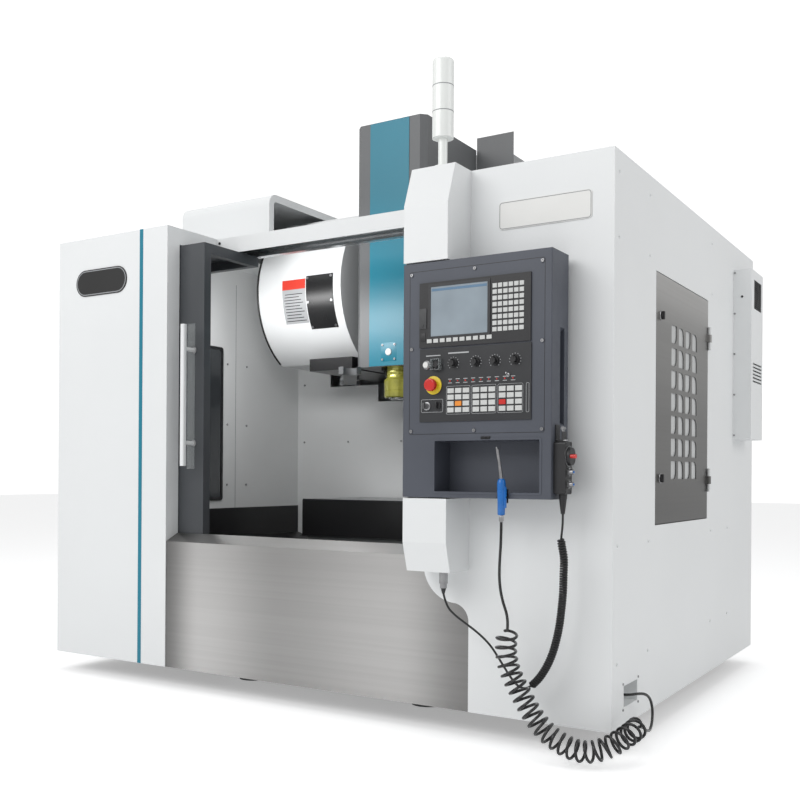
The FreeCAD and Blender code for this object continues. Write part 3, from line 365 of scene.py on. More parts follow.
def slab(x0, x1, y0, y1, z0, z1, edge=0.0):
    # A block with chamfered edges all round.
    shape = bmesh.new()
    bmesh.ops.create_cube(shape, size=1)
    for v in shape.verts:
        v.co = Vector(((x0 + x1) / 2 + v.co.x * (x1 - x0), (y0 + y1) / 2 + v.co.y * (y1 - y0),
                       (z0 + z1) / 2 + v.co.z * (z1 - z0)))
    if edge:
        bmesh.ops.bevel(shape, geom=shape.edges, offset=edge, segments=2, profile=0.6, affect="EDGES")
    shape.verts.index_update()
    points = [tuple(v.co) for v in shape.verts]
    rings = [tuple(v.index for v in f.verts) for f in shape.faces]
    shape.free()
    return points, rings


def turned(profile, centre, axis, sides=32, closed=True):
    # A profile of (radius, height) pairs turned about an axis, capped at both ends, or else a ring.
    toAxis = Vector((0, 0, 1)).rotation_difference(Vector(axis).normalized())
    points, rings = [], []
    for radius, height in profile:
        for i in range(sides):
            a = 2 * math.pi * i / sides
            spot = toAxis @ Vector((radius * math.cos(a), radius * math.sin(a), height))
            points.append(tuple(Vector(centre) + spot))
    for k in range(len(profile) - 1):
        for i in range(sides):
            j = (i + 1) % sides
            rings.append((k * sides + i, k * sides + j, (k + 1) * sides + j, (k + 1) * sides + i))
    last = (len(profile) - 1) * sides
    if closed:
        rings.append(tuple(range(sides))[::-1])
        rings.append(tuple(range(last, last + sides)))
    else:
        rings += [(last + i, last + (i + 1) % sides, (i + 1) % sides, i) for i in range(sides)]
    return points, rings


def framePlate(outer, inner, axis, low, high):
    # A flat ring between two outlines with the same number of points.
    def place(p, h):
        return {"x": (h, p[0], p[1]), "y": (p[0], h, p[1]), "z": (p[0], p[1], h)}[axis]
    n = len(outer)
    points = [place(p, h) for h in (low, high) for ring in (outer, inner) for p in ring]
    rings = []
    for i in range(n):
        j = (i + 1) % n
        rings += [(i, j, n + j, n + i), (2 * n + i, 2 * n + j, 3 * n + j, 3 * n + i),
                  (i, j, 2 * n + j, 2 * n + i), (n + i, n + j, 3 * n + j, 3 * n + i)]
    return points, rings


def roundedOutline(x0, x1, z0, z1, radius, steps=6):
    outline = []
    for cx, cz, start in ((x1 - radius, z1 - radius, 0), (x0 + radius, z1 - radius, 90),
                          (x0 + radius, z0 + radius, 180), (x1 - radius, z0 + radius, 270)):
        for k in range(steps + 1):
            a = math.radians(start + 90 * k / steps)
            outline.append((cx + radius * math.cos(a), cz + radius * math.sin(a)))
    return outline


# What repeats: one tree sets a shape on every point of a mesh, turned to the point's facing.

def makeRepeatTree():
    tree = bpy.data.node_groups.new("repeatOnPoints", "GeometryNodeTree")
    tree.is_modifier = True
    kinds = {"points": "Geometry", "shape": "Object", "size": "Float", "spin": "Float", "seed": "Int",
             "finish": "Material"}
    sockets = {name: tree.interface.new_socket(name, in_out="INPUT", socket_type="NodeSocket" + kind)
               for name, kind in kinds.items()}
    tree.interface.new_socket("Geometry", in_out="OUTPUT", socket_type="NodeSocketGeometry")
    nodes, link = tree.nodes, tree.links.new
    start, end = nodes.new("NodeGroupInput"), nodes.new("NodeGroupOutput")
    shape = nodes.new("GeometryNodeObjectInfo")
    facing = nodes.new("GeometryNodeInputNamedAttribute")
    facing.data_type = "FLOAT_VECTOR"
    facing.inputs["Name"].default_value = "facing"
    align = nodes.new("FunctionNodeAlignRotationToVector")
    align.axis = "Z"
    spin = nodes.new("FunctionNodeRandomValue")
    spin.data_type = "FLOAT"
    turn = nodes.new("ShaderNodeCombineXYZ")
    toRotation = nodes.new("FunctionNodeEulerToRotation")
    place = nodes.new("GeometryNodeInstanceOnPoints")
    rotate = nodes.new("GeometryNodeRotateInstances")
    solid = nodes.new("GeometryNodeRealizeInstances")
    colour = nodes.new("GeometryNodeSetMaterial")
    link(start.outputs["points"], place.inputs["Points"])
    link(start.outputs["shape"], shape.inputs["Object"])
    link(shape.outputs["Geometry"], place.inputs["Instance"])
    link(facing.outputs["Attribute"], align.inputs["Vector"])
    link(align.outputs["Rotation"], place.inputs["Rotation"])
    link(start.outputs["size"], place.inputs["Scale"])
    link(start.outputs["spin"], spin.inputs[3])
    link(start.outputs["seed"], spin.inputs["Seed"])
    link(spin.outputs[1], turn.inputs["Z"])
    link(turn.outputs["Vector"], toRotation.inputs["Euler"])
    link(place.outputs["Instances"], rotate.inputs["Instances"])
    link(toRotation.outputs["Rotation"], rotate.inputs["Rotation"])
    link(rotate.outputs["Instances"], solid.inputs["Geometry"])
    link(solid.outputs["Geometry"], colour.inputs["Geometry"])
    link(start.outputs["finish"], colour.inputs["Material"])
    link(colour.outputs["Geometry"], end.inputs["Geometry"])
    return tree, sockets


repeatTree, repeatSockets = makeRepeatTree()
seedCount = [3]


def bakedMesh(piece, name):
    graph = bpy.context.evaluated_depsgraph_get()
    mesh = bpy.data.meshes.new_from_object(piece.evaluated_get(graph), depsgraph=graph)
    mesh.name = name
    piece.modifiers.clear()
    piece.data = mesh
    return piece


def repeated(name, shape, spots, facing, material, body, spin=0.0, size=1.0):
    # shape is a (points, faces) pair in millimetres round its own centre, with Z outwards.
    stamp = bpy.data.meshes.new(name + "Stamp")
    stamp.from_pydata([Vector(p) / 1000 for p in shape[0]], [], shape[1])
    solid = bmesh.new()
    solid.from_mesh(stamp)
    bmesh.ops.recalc_face_normals(solid, faces=solid.faces)
    solid.to_mesh(stamp)
    solid.free()
    stamp.shade_smooth()
    stamp.set_sharp_from_angle(angle=math.radians(35))
    source = bpy.data.objects.new(name + "Stamp", stamp)
    cloud = bpy.data.meshes.new(name)
    cloud.from_pydata([at(*p) for p in spots], [], [])
    ways = facing if isinstance(facing, list) else [facing] * len(spots)
    attribute = cloud.attributes.new("facing", "FLOAT_VECTOR", "POINT")
    attribute.data.foreach_set("vector", [c for way in ways for c in way])
    piece = bpy.data.objects.new(name, cloud)
    bpy.context.scene.collection.objects.link(piece)
    modifier = piece.modifiers.new("repeat", "NODES")
    modifier.node_group = repeatTree
    seedCount[0] += 1
    for key, value in (("shape", source), ("size", size), ("spin", spin), ("seed", seedCount[0]),
                       ("finish", material)):
        modifier[repeatSockets[key].identifier] = value
    bakedMesh(piece, name)
    bpy.data.objects.remove(source)
    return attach(piece, body)


def capScrew(radius, height):
    # A socket head with a rounded rim and a six-sided hole.
    sides = 24
    verts, faces = turned([(radius, -0.5), (radius, height * 0.75), (radius * 0.9, height)], (0, 0, 0),
                          (0, 0, 1), sides)
    faces = faces[:-1]
    top = [2 * sides + i for i in range(sides)]
    hole = []
    for depth in (height, height * 0.3):
        hole.append(len(verts))
        for i in range(sides):
            a = 2 * math.pi * i / sides
            corner = math.cos(math.pi / 6) / math.cos((a % (math.pi / 3)) - math.pi / 6)
            r = radius * 0.5 * corner
            verts.append((r * math.cos(a), r * math.sin(a), depth))
    for i in range(sides):
        j = (i + 1) % sides
        faces.append((top[i], top[j], hole[0] + j, hole[0] + i))
        faces.append((hole[0] + i, hole[0] + j, hole[1] + j, hole[1] + i))
    faces.append(tuple(hole[1] + i for i in range(sides)))
    return verts, faces


# Cords

hose = {"diameter": 9, "coilAcross": 68, "turns": 26}
curl = {"diameter": 7, "across": 25.5, "turns": 64}
hoseTop = [(962, -170, 632.7), (962, -170, 575), (957, -169, 515), (955, -167, 455), (963, -164, 400),
           (980, -160, 352), (979, -156, 308)]
hoseCoil = [(979, -156, 308), (970, -152, 256), (975, -148, 205), (992, -143, 160), (1015, -139, 118),
            (1038, -135, 78), (1064, -131, 40), (1096, -128, 8), (1133, -126, -14), (1172, -125, -29),
            (1213, -123, -33), (1252, -115, -25), (1287, -93, -8), (1310, -56, 9), (1322, -12, 20),
            (1323, 34, 26)]
hoseEnd = [(1323, 34, 26), (1325, 77, 10), (1322, 121, -9), (1316, 165, -16), (1310, 205, 2), (1306, 221, 38),
           (1303, 207, 72), (1298, 177, 92), (1286, 146, 98), (1262, 125, 94), (1226, 121, 92)]
cableLead = (1131, -112, 588)
cableCurl = [(1136, -112, 659.7), (1136, -112, 636), (1134, -112, 611), cableLead, (1133, -112, 565),
             (1141, -111, 530), (1138, -109, 480),
             (1137, -108, 430), (1131, -105, 380), (1124, -102, 330), (1113, -99, 282), (1099, -96, 238),
             (1079, -93, 196), (1055, -90, 160), (1026, -88, 131)]
cableTail = [(1026, -88, 131), (1004, -87, 121), (980, -85, 126), (958, -83, 146), (936, -81, 173),
             (912, -80, 205), (882, -79, 243), (838, -78, 277), (792, -77, 303), (752, -76, 326),
             (722, -75, 352), (711, -75, 391)]


def splineLine(points):
    # The line of a smooth spline through the route, read back from a curve with no thickness.
    data = bpy.data.curves.new("route", "CURVE")
    data.dimensions = "3D"
    data.resolution_u = 24
    spline = data.splines.new("NURBS")
    spline.points.add(len(points) - 1)
    for point, spot in zip(spline.points, points):
        point.co = (*at(*spot), 1)
    spline.order_u = 3
    spline.use_endpoint_u = True
    route = bpy.data.objects.new("route", data)
    bpy.context.scene.collection.objects.link(route)
    graph = bpy.context.evaluated_depsgraph_get()
    mesh = bpy.data.meshes.new_from_object(route.evaluated_get(graph), depsgraph=graph)
    line = [v.co.copy() for v in mesh.vertices]
    bpy.data.objects.remove(route)
    return line


def evenly(line, count):
    # The same line with evenly spaced points, and the way at each.
    lengths = [0.0]
    for a, b in zip(line, line[1:]):
        lengths.append(lengths[-1] + (b - a).length)
    spots, k = [], 0
    for i in range(count + 1):
        s = lengths[-1] * i / count
        while k < len(line) - 2 and lengths[k + 1] < s:
            k += 1
        share = (s - lengths[k]) / max(lengths[k + 1] - lengths[k], 1e-9)
        spots.append(line[k].lerp(line[k + 1], min(1, share)))
    ways = [(spots[min(i + 1, count)] - spots[max(i - 1, 0)]).normalized() for i in range(count + 1)]
    return spots, ways


def windings(line, turns, across, diameter, turnPoints, rise):
    # A helix round the line. Its radius grows from nothing over the first turn and falls over the last.
    count = int(turns * turnPoints)
    spots, ways = evenly(line, count)
    side = ways[0].orthogonal().normalized()
    coil = []
    for i, (spot, way) in enumerate(zip(spots, ways)):
        side = (side - way * side.dot(way)).normalized()
        other = way.cross(side)
        turn = i / turnPoints
        grow = min(1, turn / rise, (turns - turn) / rise)
        grow = grow * grow * (3 - 2 * grow)
        radius = (across - diameter) / 2000 * grow
        a = 2 * math.pi * turn
        coil.append(spot + side * radius * math.cos(a) + other * radius * math.sin(a))
    return coil


def tube(name, line, diameter, material, sides=10):
    # A round tube along a line, closed at both ends, with its own turned frame.
    radius = diameter / 2000
    verts, faces = [], []
    way = (line[1] - line[0]).normalized()
    side = way.orthogonal().normalized()
    for i, spot in enumerate(line):
        way = (line[min(i + 1, len(line) - 1)] - line[max(i - 1, 0)]).normalized()
        side = (side - way * side.dot(way)).normalized()
        other = way.cross(side)
        for k in range(sides):
            a = 2 * math.pi * k / sides
            verts.append(spot + (side * math.cos(a) + other * math.sin(a)) * radius)
    for i in range(len(line) - 1):
        for k in range(sides):
            j = (k + 1) % sides
            faces.append((i * sides + k, i * sides + j, (i + 1) * sides + j, (i + 1) * sides + k))
    faces.append(tuple(range(sides))[::-1])
    faces.append(tuple(range((len(line) - 1) * sides, len(line) * sides)))
    mesh = bpy.data.meshes.new(name)
    mesh.from_pydata(verts, [], faces)
    mesh.materials.append(material)
    mesh.shade_smooth()
    mesh.set_sharp_from_angle(angle=math.radians(60))
    piece = bpy.data.objects.new(name, mesh)
    bpy.context.scene.collection.objects.link(piece)
    return piece


def lineLength(line):
    return sum((b - a).length for a, b in zip(line, line[1:]))


def parts(whole, first, last):
    # The stretch of the whole line between two of its route's points.
    nearFirst = min(range(len(whole)), key=lambda i: (whole[i] - at(*first)).length)
    nearLast = min(range(len(whole)), key=lambda i: (whole[i] - at(*last)).length)
    return nearFirst, nearLast


def makeCords():
    whole = splineLine(hoseTop + hoseCoil[1:] + hoseEnd[1:])
    first, last = parts(whole, hoseTop[-1], hoseEnd[0])
    coil = windings(whole[first:last + 1], hose["turns"], hose["coilAcross"], hose["diameter"], 20, 0.45)
    line = whole[:first] + coil + whole[last + 1:]
    print("hose length", round(lineLength(line), 3))
    piece = tube("airHose", line, hose["diameter"], hoseRubber)
    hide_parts("air_hose", "hose_coil", "hose_end")
    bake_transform(piece)
    whole = splineLine(cableCurl + cableTail[1:])
    first, last = parts(whole, cableLead, cableCurl[-1])
    coil = windings(whole[first:last + 1], curl["turns"], curl["across"], curl["diameter"], 14, 1.0)
    line = whole[:first] + coil + whole[last + 1:]
    print("cable length", round(lineLength(line), 3))
    piece = tube("pendantCable", line, curl["diameter"], cableRubber, 8)
    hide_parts("cable_curl", "cable_tail")
    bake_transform(piece)


makeCords()
print("cords made")


# Details on the control box

face = controlBox["face"]
front, toRight, up = (0, -1, 0), (1, 0, 0), (0, 0, 1)
seam = {"x": (626, 1094), "z": (902, 1421), "width": 1.4, "screwLift": 0.2}
screen = {"x": (707, 907), "z": (1210, 1366), "edge": 9, "face": face - 5}
panel = {"face": face - 4, "power": (693, 1121), "guarded": (730, 1121), "stop": (718, 1056),
         "lock": (694, 991), "rocker": (733, 992), "toggle": (977, 1076), "knobs": (789, 867, 932, 1000),
         "knobLevel": 1122, "dialRadius": 19, "dialTicks": 11, "groupPitch": 89, "keyPitch": 27,
         "keys": (963, 1051), "lampLevel": 1067}


def ringLine(x0, x1, z0, z1, width, y, radius=4):
    # A thin raised outline on a face that looks towards the front.
    outer = roundedOutline(x0, x1, z0, z1, radius)
    inner = roundedOutline(x0 + width, x1 - width, z0 + width, z1 - width, max(0.5, radius - width))
    return framePlate(outer, inner, "y", y - 0.35, y + 0.3)


def onPanel(profile, place, sides, closed=True):
    # A turned shape that stands on the operator panel.
    return turned(profile, (place[0], panel["face"], place[1]), front, sides, closed)


def boxDetails():
    y = face - seam["screwLift"]
    spots = [(x, y, z) for x in (634, 860, 1086) for z in (1411, 912)] + [(635, y, 1174), (1086, y, 1174)]
    repeated("boxScrews", capScrew(5.5, 3.5), spots, front, screwSteel, "control_box")
    newPiece("boxSeam", *ringLine(*seam["x"], *seam["z"], seam["width"], face, 6), blackPaint, "control_box")


def displayDetails():
    (x0, x1), (z0, z1) = screen["x"], screen["z"]
    y, edge = screen["face"], screen["edge"]
    bezel = framePlate(roundedOutline(x0 - edge, x1 + edge, z0 - edge + 1, z1 + edge, 5),
                       roundedOutline(x0, x1, z0, z1, 2), "y", y - 2.2, y + 0.5)
    newPiece("screenBezel", *bezel, panelPlastic, "control_box")
    newPiece("screen", *slab(x0, x1, y - 0.9, y + 0.4, z0, z1), screenGlass, "control_box", smooth=False)
    bar = slab(x0 + 3, x1 - 3, y - 1.2, y - 0.8, z1 - 14, z1 - 6)
    newPiece("screenBar", *bar, screenBlue, "control_box", smooth=False)
    door = joinShapes(slab(666, 692, y - 2.4, y + 0.5, 1236, 1300, 1.2),
                      slab(676, 682, y - 4, y - 2, 1242, 1250, 0.8))
    newPiece("cardDoor", *door, darkKey, "control_box")
    ports = slab(670, 688, y - 1.2, y + 0.4, 1196, 1222, 0.6)
    newPiece("cardPorts", *ports, blackPlastic, "control_box")


def panelMarks():
    # Outlines round the groups of keys, and plain bars and lamps over them.
    y, pitch = panel["face"], panel["keyPitch"]
    z0, z1 = panel["keys"]
    outlines = [ringLine(764 + shift, 848 + shift, z0, z1, 0.8, y, 5)
                for shift in (0, panel["groupPitch"], 2 * panel["groupPitch"])]
    outlines.append(ringLine(673, 752, 971, 1012, 1.0, y, 5))
    outlines.append(ringLine(1036, 1046, z0, z1, 0.9, y, 3))
    newPiece("groupOutlines", *joinShapes(*outlines), whiteLine, "control_box")
    low, high = y - 0.4, y + 0.3
    marks = [slab(x, x + 14, low, high, z, z + 2) for x in range(770, 770 + 9 * pitch, pitch)
             for z in (1060, 1072)]
    newPiece("indicatorMarks", *joinShapes(*marks), whiteLine, "control_box", smooth=False)
    lamp = turned([(2.4, 0), (2.4, 1.2), (1.2, 1.8)], (0, 0, 0), up, 12)
    repeated("indicatorLamps", lamp, [(777 + k * pitch, y, panel["lampLevel"]) for k in range(9)], front,
             redPlastic, "control_box")
    heading = joinShapes(slab(770, 842, low, high, 1152, 1156), slab(690, 742, low, high, 1148, 1151))
    newPiece("panelHeading", *heading, whiteLine, "control_box", smooth=False)
    ticks = []
    for x in panel["knobs"]:
        for k in range(panel["dialTicks"]):
            a = math.radians(225 - 27 * k)
            ticks.append((x + panel["dialRadius"] * math.cos(a), y - 0.2,
                          panel["knobLevel"] + panel["dialRadius"] * math.sin(a)))
    repeated("knobTicks", slab(-1.1, 1.1, -1.1, 1.1, 0, 0.6), ticks, front, whiteLine, "control_box")


def panelFittings():
    y = panel["face"]
    buttonRing = [(14, -0.3), (14, 3), (12.6, 4.4), (10, 4.4)]
    stopRing = onPanel([(29, -0.3), (29, 2), (27, 3), (12, 3), (12, -0.3)], panel["stop"], 40, closed=False)
    newPiece("stopRing", *stopRing, yellowPlastic, "control_box")
    neck = onPanel([(10, 7.6), (11.5, 11), (14, 14), (15, 15.2)], panel["stop"], 24)
    newPiece("stopNeck", *neck, redPlastic, "emergency_stop")
    newPiece("powerRing", *onPanel(buttonRing, panel["power"], 32), screwSteel, "control_box")
    newPiece("guardedRing", *onPanel(buttonRing, panel["guarded"], 32), blackPlastic, "control_box")
    newPiece("buttonGuard", *joinShapes(
        slab(714, 746, y - 17, y + 0.2, 1136, 1138), slab(714, 746, y - 17, y + 0.2, 1104, 1106),
        slab(714, 716, y - 17, y + 0.2, 1106, 1136), slab(744, 746, y - 17, y + 0.2, 1106, 1136)),
        clearPlastic, "control_box", smooth=False)
    lockRing = onPanel([(13, -0.3), (13, 1.6), (11.5, 2.6), (9.5, 2.6)], panel["lock"], 32)
    newPiece("keySwitchRing", *lockRing, screwSteel, "control_box")
    rocker = joinShapes(onPanel([(12, -0.3), (12, 3), (10.5, 4.5), (3, 4.5)], panel["rocker"], 28),
                        slab(730.5, 735.5, y - 13, y - 4, 983, 1002, 1))
    newPiece("blackSwitch", *rocker, blackPlastic, "control_box")
    x, z = panel["toggle"]
    toggle = joinShapes(onPanel([(6, -0.3), (6, 3), (3.2, 4), (3.2, 6)], (x, z), 20),
                        turned([(1.8, 5), (2.2, 13), (3, 17), (1.6, 19)], (x, y, z), (0, -1, 0.35), 16))
    newPiece("toggle", *toggle, screwSteel, "control_box")
    collar = [(13.8, 0.3), (13.8, 3), (12.6, 4.6), (10, 4.6)]
    collars = [onPanel(collar, (x, panel["knobLevel"]), 36) for x in panel["knobs"]]
    newPiece("knobCollars", *joinShapes(*collars), blackScrew, "control_box")


def pocketDetails():
    x0, x1, z0, z1 = 721, 1079, 722, 881
    lip = framePlate(roundedOutline(x0 - 7, x1 + 7, z0 - 7, z1 + 7, 9), roundedOutline(x0, x1, z0, z1, 3),
                     "y", face - 1.4, face + 0.2)
    newPiece("pocketLip", *lip, boxPaint, "control_box")
    latch = joinShapes(slab(884, 916, face - 3, face + 0.5, 884, 893, 1),
                       turned([(3, 0), (3, 2), (2, 3)], (900, face - 2.6, 888.5), front, 16))
    newPiece("pocketCatch", *latch, blackScrew, "control_box")
    vents = [(x, -29.6, z) for x in range(700, 1020, 40) for z in range(980, 1340, 16)]
    repeated("boxVents", slab(-14, 14, -2.4, 2.4, -0.4, 1.2, 0.5), vents, (0, 1, 0), blackPlastic,
             "control_box")


pendant = {"face": 1153, "y": -112, "wheel": 831, "selectors": (("axis", 785), ("step", 748)),
           "scaleRadius": 30, "scaleTicks": 50, "bootRibs": 9}


def onPendant(profile, z, sides):
    return turned(profile, (pendant["face"], pendant["y"], z), toRight, sides)


def pendantDetails():
    x, y, wheel, radius = pendant["face"], pendant["y"], pendant["wheel"], pendant["scaleRadius"]
    newPiece("wheelScale", *onPendant([(33, -0.2), (33, 1.6), (31, 2.4), (27, 2.4)], wheel, 48),
             blackPlastic, "control_box")
    ticks = []
    for k in range(pendant["scaleTicks"]):
        a = 2 * math.pi * k / pendant["scaleTicks"]
        ticks.append((x + 2.3, y + radius * math.cos(a), wheel + radius * math.sin(a)))
    repeated("wheelTicks", slab(-0.7, 0.7, -0.7, 0.7, 0, 0.5), ticks, toRight, whiteLine, "control_box")
    grip = onPendant([(26.6, 2.6), (26.6, 11), (25, 12.6), (18, 12.6), (17, 10.8), (6, 10.8)], wheel, 60)
    newPiece("wheelGrip", *grip, blackPlastic, "pendant_wheel")
    for name, z in pendant["selectors"]:
        plate = slab(x - 0.2, x + 1.2, -131, -93, z - 16, z + 16, 0.5)
        newPiece(name + "Plate", *plate, labelBlack, "control_box")
        newPiece(name + "Cap", *onPendant([(8.2, 4), (8.2, 12), (7, 15.5), (3, 16)], z, 24), screwSteel,
                 name + "_selector")
        newPiece(name + "Tip", *onPendant([(3.6, 15), (3.6, 17.4), (2.6, 18.4)], z, 20), bluePlastic,
                 name + "_selector")
        spots = []
        for k in range(6):
            a = math.radians(200 - 44 * k)
            spots.append((x + 1.1, y + 14 * math.cos(a), z + 13.4 * math.sin(a)))
        repeated(name + "Dots", slab(-0.8, 0.8, -0.8, 0.8, 0, 0.5), spots, toRight, whiteLine,
                 "control_box")
    hook = joinShapes(slab(1117, 1152, -124, -100, 876, 880, 1), slab(1134, 1138, -120, -104, 880, 915, 1),
                      turned([(5, -9), (5, 9)], (1136, y, 915), (0, 1, 0), 20))
    newPiece("pendantHook", *hook, screwSteel, "control_box")
    spots = [(x - 0.4, side, z) for side in (-132, -92) for z in (868, 726)]
    repeated("pendantScrews", capScrew(2.2, 1.4), spots, toRight, blackScrew, "control_box")
    boot = [(13.4, -1)]
    for k in range(pendant["bootRibs"]):
        rib, depth = 12.8 - k * 0.75, 3 + k * 6.2
        boot += [(rib, depth), (rib, depth + 3.6), (rib - 1.6, depth + 4.2)]
    newPiece("pendantBoot", *turned(boot, (1136, y, 719), (0, 0, -1), 24), blackPlastic, "control_box")


def gunDetails():
    # A squeezed air gun: tapered body, lever and a slim nozzle that leans left.
    x, y = 962, -170
    body = turned([(9, 0), (11.5, 4), (11.8, 40), (12.8, 70), (13.2, 96), (11, 106), (7, 110)],
                  (x, y, 654), up, 28)
    newPiece("gunBody", *body, bluePlastic, "control_box")
    lever = joinShapes(slab(x + 11, x + 16, y - 5, y + 5, 676, 738, 2),
                       slab(x + 8, x + 14, y - 4, y + 4, 728, 742, 2))
    newPiece("gunLever", *lever, bluePlastic, "control_box")
    newPiece("gunNozzle", *turned([(5, 0), (5, 8), (3.4, 12), (3.2, 92), (2.2, 99)], (x, y, 762),
                                  (-0.18, 0, 1), 20), screwSteel, "control_box")
    nut = turned([(8.5, 0), (8.5, 14), (7, 17)], (x, y, 637), up, 6)
    newPiece("gunNut", *nut, screwSteel, "control_box")
    newPiece("gunHolder", *joinShapes(slab(x - 16, x + 16, y - 3, face + 0.5, 706, 710, 1),
                                      slab(x - 16, x + 16, face - 2, face + 0.5, 690, 732, 1)),
             blackScrew, "control_box")


boxDetails()
displayDetails()
panelMarks()
panelFittings()
pocketDetails()
pendantDetails()
gunDetails()
print("control box details made")


# Details on the machine inside

drum = {"y": 1080, "z": 1620, "radius": 385, "left": -722, "right": -250}


def drumPatch(x0, x1, z0, z1, low, high, steps=14):
    # A thin plate that follows the drum cover's curve.
    points, rings = [], []
    for i in range(steps + 1):
        z = z0 + (z1 - z0) * i / steps
        a = math.asin((z - drum["z"]) / drum["radius"])
        for x, r in ((x0, low), (x1, low), (x1, high), (x0, high)):
            reach = drum["radius"] + r
            points.append((x, drum["y"] - reach * math.cos(a), drum["z"] + reach * math.sin(a)))
    for i in range(steps):
        for k in range(4):
            j = (k + 1) % 4
            rings.append((i * 4 + k, i * 4 + j, i * 4 + 4 + j, i * 4 + 4 + k))
    rings += [(0, 1, 2, 3), tuple(steps * 4 + k for k in range(4))]
    return points, rings


def drumSpot(x, z, lift):
    a = math.asin((z - drum["z"]) / drum["radius"])
    reach = drum["radius"] + lift
    spot = (x, drum["y"] - reach * math.cos(a), drum["z"] + reach * math.sin(a))
    return spot, (0, -math.cos(a), math.sin(a))


def magazineDetails():
    newPiece("drumLabel", *drumPatch(-575, -445, 1462, 1612, 0.2, 1.2), greyLabel, "root")
    newPiece("drumLabelBar", *drumPatch(-575, -445, 1612, 1656, 0.2, 1.4, 6), labelRed, "root")
    bars = [drumPatch(-566 + (3 * k) % 7, -455 - (11 * k) % 31, z, z + 3.5, 1.0, 1.6, 1)
            for k, z in enumerate(range(1472, 1602, 13))]
    newPiece("drumLabelLines", *joinShapes(*bars), labelBlack, "root", smooth=False)
    places = [drumSpot(x, z, 3) for x in (-430, -301) for z in (1442, 1548, 1655)]
    repeated("drumPlateScrews", capScrew(6, 3.4), [p[0] for p in places], [p[1] for p in places],
             screwSteel, "root")
    edge = []
    for i in range(31):
        z = 1300 + 540 * i / 30
        edge.append(Vector(drumSpot(drum["left"] + 2, z, 1.5)[0]))
    line = [at(*p) for p in edge]
    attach(tube("drumEdge", line, 9, cableRubber, 10), "root")


head = {"front": 700, "plateFront": 697.4, "noseY": 780, "noseEnd": 1106, "boltCircle": 46,
        "plateMiddle": (2, 1298), "plateHalf": 40, "plateScrews": 31, "nozzleX": 60}


def headDetails():
    noseEnd, noseY, y = head["noseEnd"], head["noseY"], head["plateFront"]
    nose = turned([(37, 0), (55, 0), (61, 5), (61, 26), (59.6, 27.4), (59.6, 30.6), (61, 32), (61, 77),
                   (56, 84), (50, 84), (50, 98), (48.6, 100), (50, 102), (50, 116), (48.6, 118), (50, 120),
                   (50, 132), (74, 132), (74, 135), (42, 135), (42, 172), (37, 172)],
                  (0, noseY, noseEnd), up, 72, closed=False)
    piece = newPiece("spindleNose", *nose, oilySteel, "head")
    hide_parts("spindle_housing")
    ways = [math.radians(30 + 60 * k) for k in range(6)]
    circle = head["boltCircle"]
    spots = [(circle * math.cos(a), noseY + circle * math.sin(a), noseEnd + 0.3) for a in ways]
    repeated("noseScrews", capScrew(5, 3), spots, (0, 0, -1), blackScrew, "head")
    x, z = head["plateMiddle"]
    half, reach = head["plateHalf"], head["plateScrews"]
    newPiece("headPlate", *slab(x - half, x + half, y, head["front"] + 0.4, z - half, z + half, 1), tealPaint,
             "head")
    spots = [(x + side, y, z + level) for side in (-reach, reach) for level in (-reach, reach)]
    repeated("headPlateScrews", capScrew(5, 3.2), spots, front, screwSteel, "head")
    plug = turned([(15, -0.5), (15, 2.4), (13, 4), (5, 4)], (x, y, z), front, 32)
    newPiece("headPlug", *plug, labelWhite, "head")
    nozzles = [turned([(13, 0), (13, 24)], (side * head["nozzleX"], 760, 1226), up, 6) for side in (-1, 1)]
    nozzles += [turned([(7, 0), (5, 30), (3, 34)], (side * 58, 764, 1228), (-side * 0.25, 0.1, -1), 16)
                for side in (-1, 1)]
    newPiece("coolantNozzles", *joinShapes(*nozzles), blackPlastic, "head")


def tableDetails():
    spots = [(x, 759.8, 600) for x in range(-460, 461, 115)]
    repeated("tableCoverScrews", capScrew(4.5, 2.6), spots, front, screwSteel, "table")
    ruler = [slab(x - 0.6, x + 0.6, 759.5, 760.1, 648, 655 if k % 5 else 658) for k, x in
             enumerate(range(-450, 451, 25))]
    newPiece("tableScale", *joinShapes(*ruler), blackPaint, "table", smooth=False)


chamber = {"wall": -944.5, "back": 1292.8, "windowY": (592, 706), "windowZ": (646, 1376), "frameWidth": 14,
           "seams": (500, 800), "screwLevels": (720, 1010, 1300)}


def innerWallDetails():
    x, width = chamber["wall"], chamber["frameWidth"]
    (y0, y1), (z0, z1) = chamber["windowY"], chamber["windowZ"]
    rim = framePlate(roundedOutline(y0, y1, z0, z1, 14),
                     roundedOutline(y0 + width, y1 - width, z0 + width, z1 - width, 8), "x", x - 0.4, x + 5)
    newPiece("wallWindowFrame", *rim, blackPlastic, "root")
    newPiece("wallWindow", *slab(x - 0.2, x + 2, y0 + 11, y1 - 11, z0 + 11, z1 - 11), darkGlass, "root",
             smooth=False)
    spots = [(x + 0.4, y, z) for y in (420, 560, 740, 880) for z in chamber["screwLevels"]]
    repeated("wallScrews", capScrew(5, 2.8), spots, toRight, screwSteel, "root")
    seams = joinShapes(*[slab(x - 0.3, x + 0.5, y - 1.1, y + 1.1, 560, 1690) for y in chamber["seams"]])
    newPiece("wallSeams", *seams, seamGrey, "root", smooth=False)
    spots = [(sx, chamber["back"], z) for sx in (-900, -620, -300, 300, 620, 900) for z in (640, 940, 1240)]
    repeated("backWallScrews", capScrew(5, 2.8), spots, front, screwSteel, "root")
    newPiece("insideLamp", *slab(300, 700, 440, 470, 1735, 1752, 4), labelWhite, "root")


magazineDetails()
headDetails()
tableDetails()
innerWallDetails()
print("machine details made")


# Details outside: doors, side, cooler, rear and roof

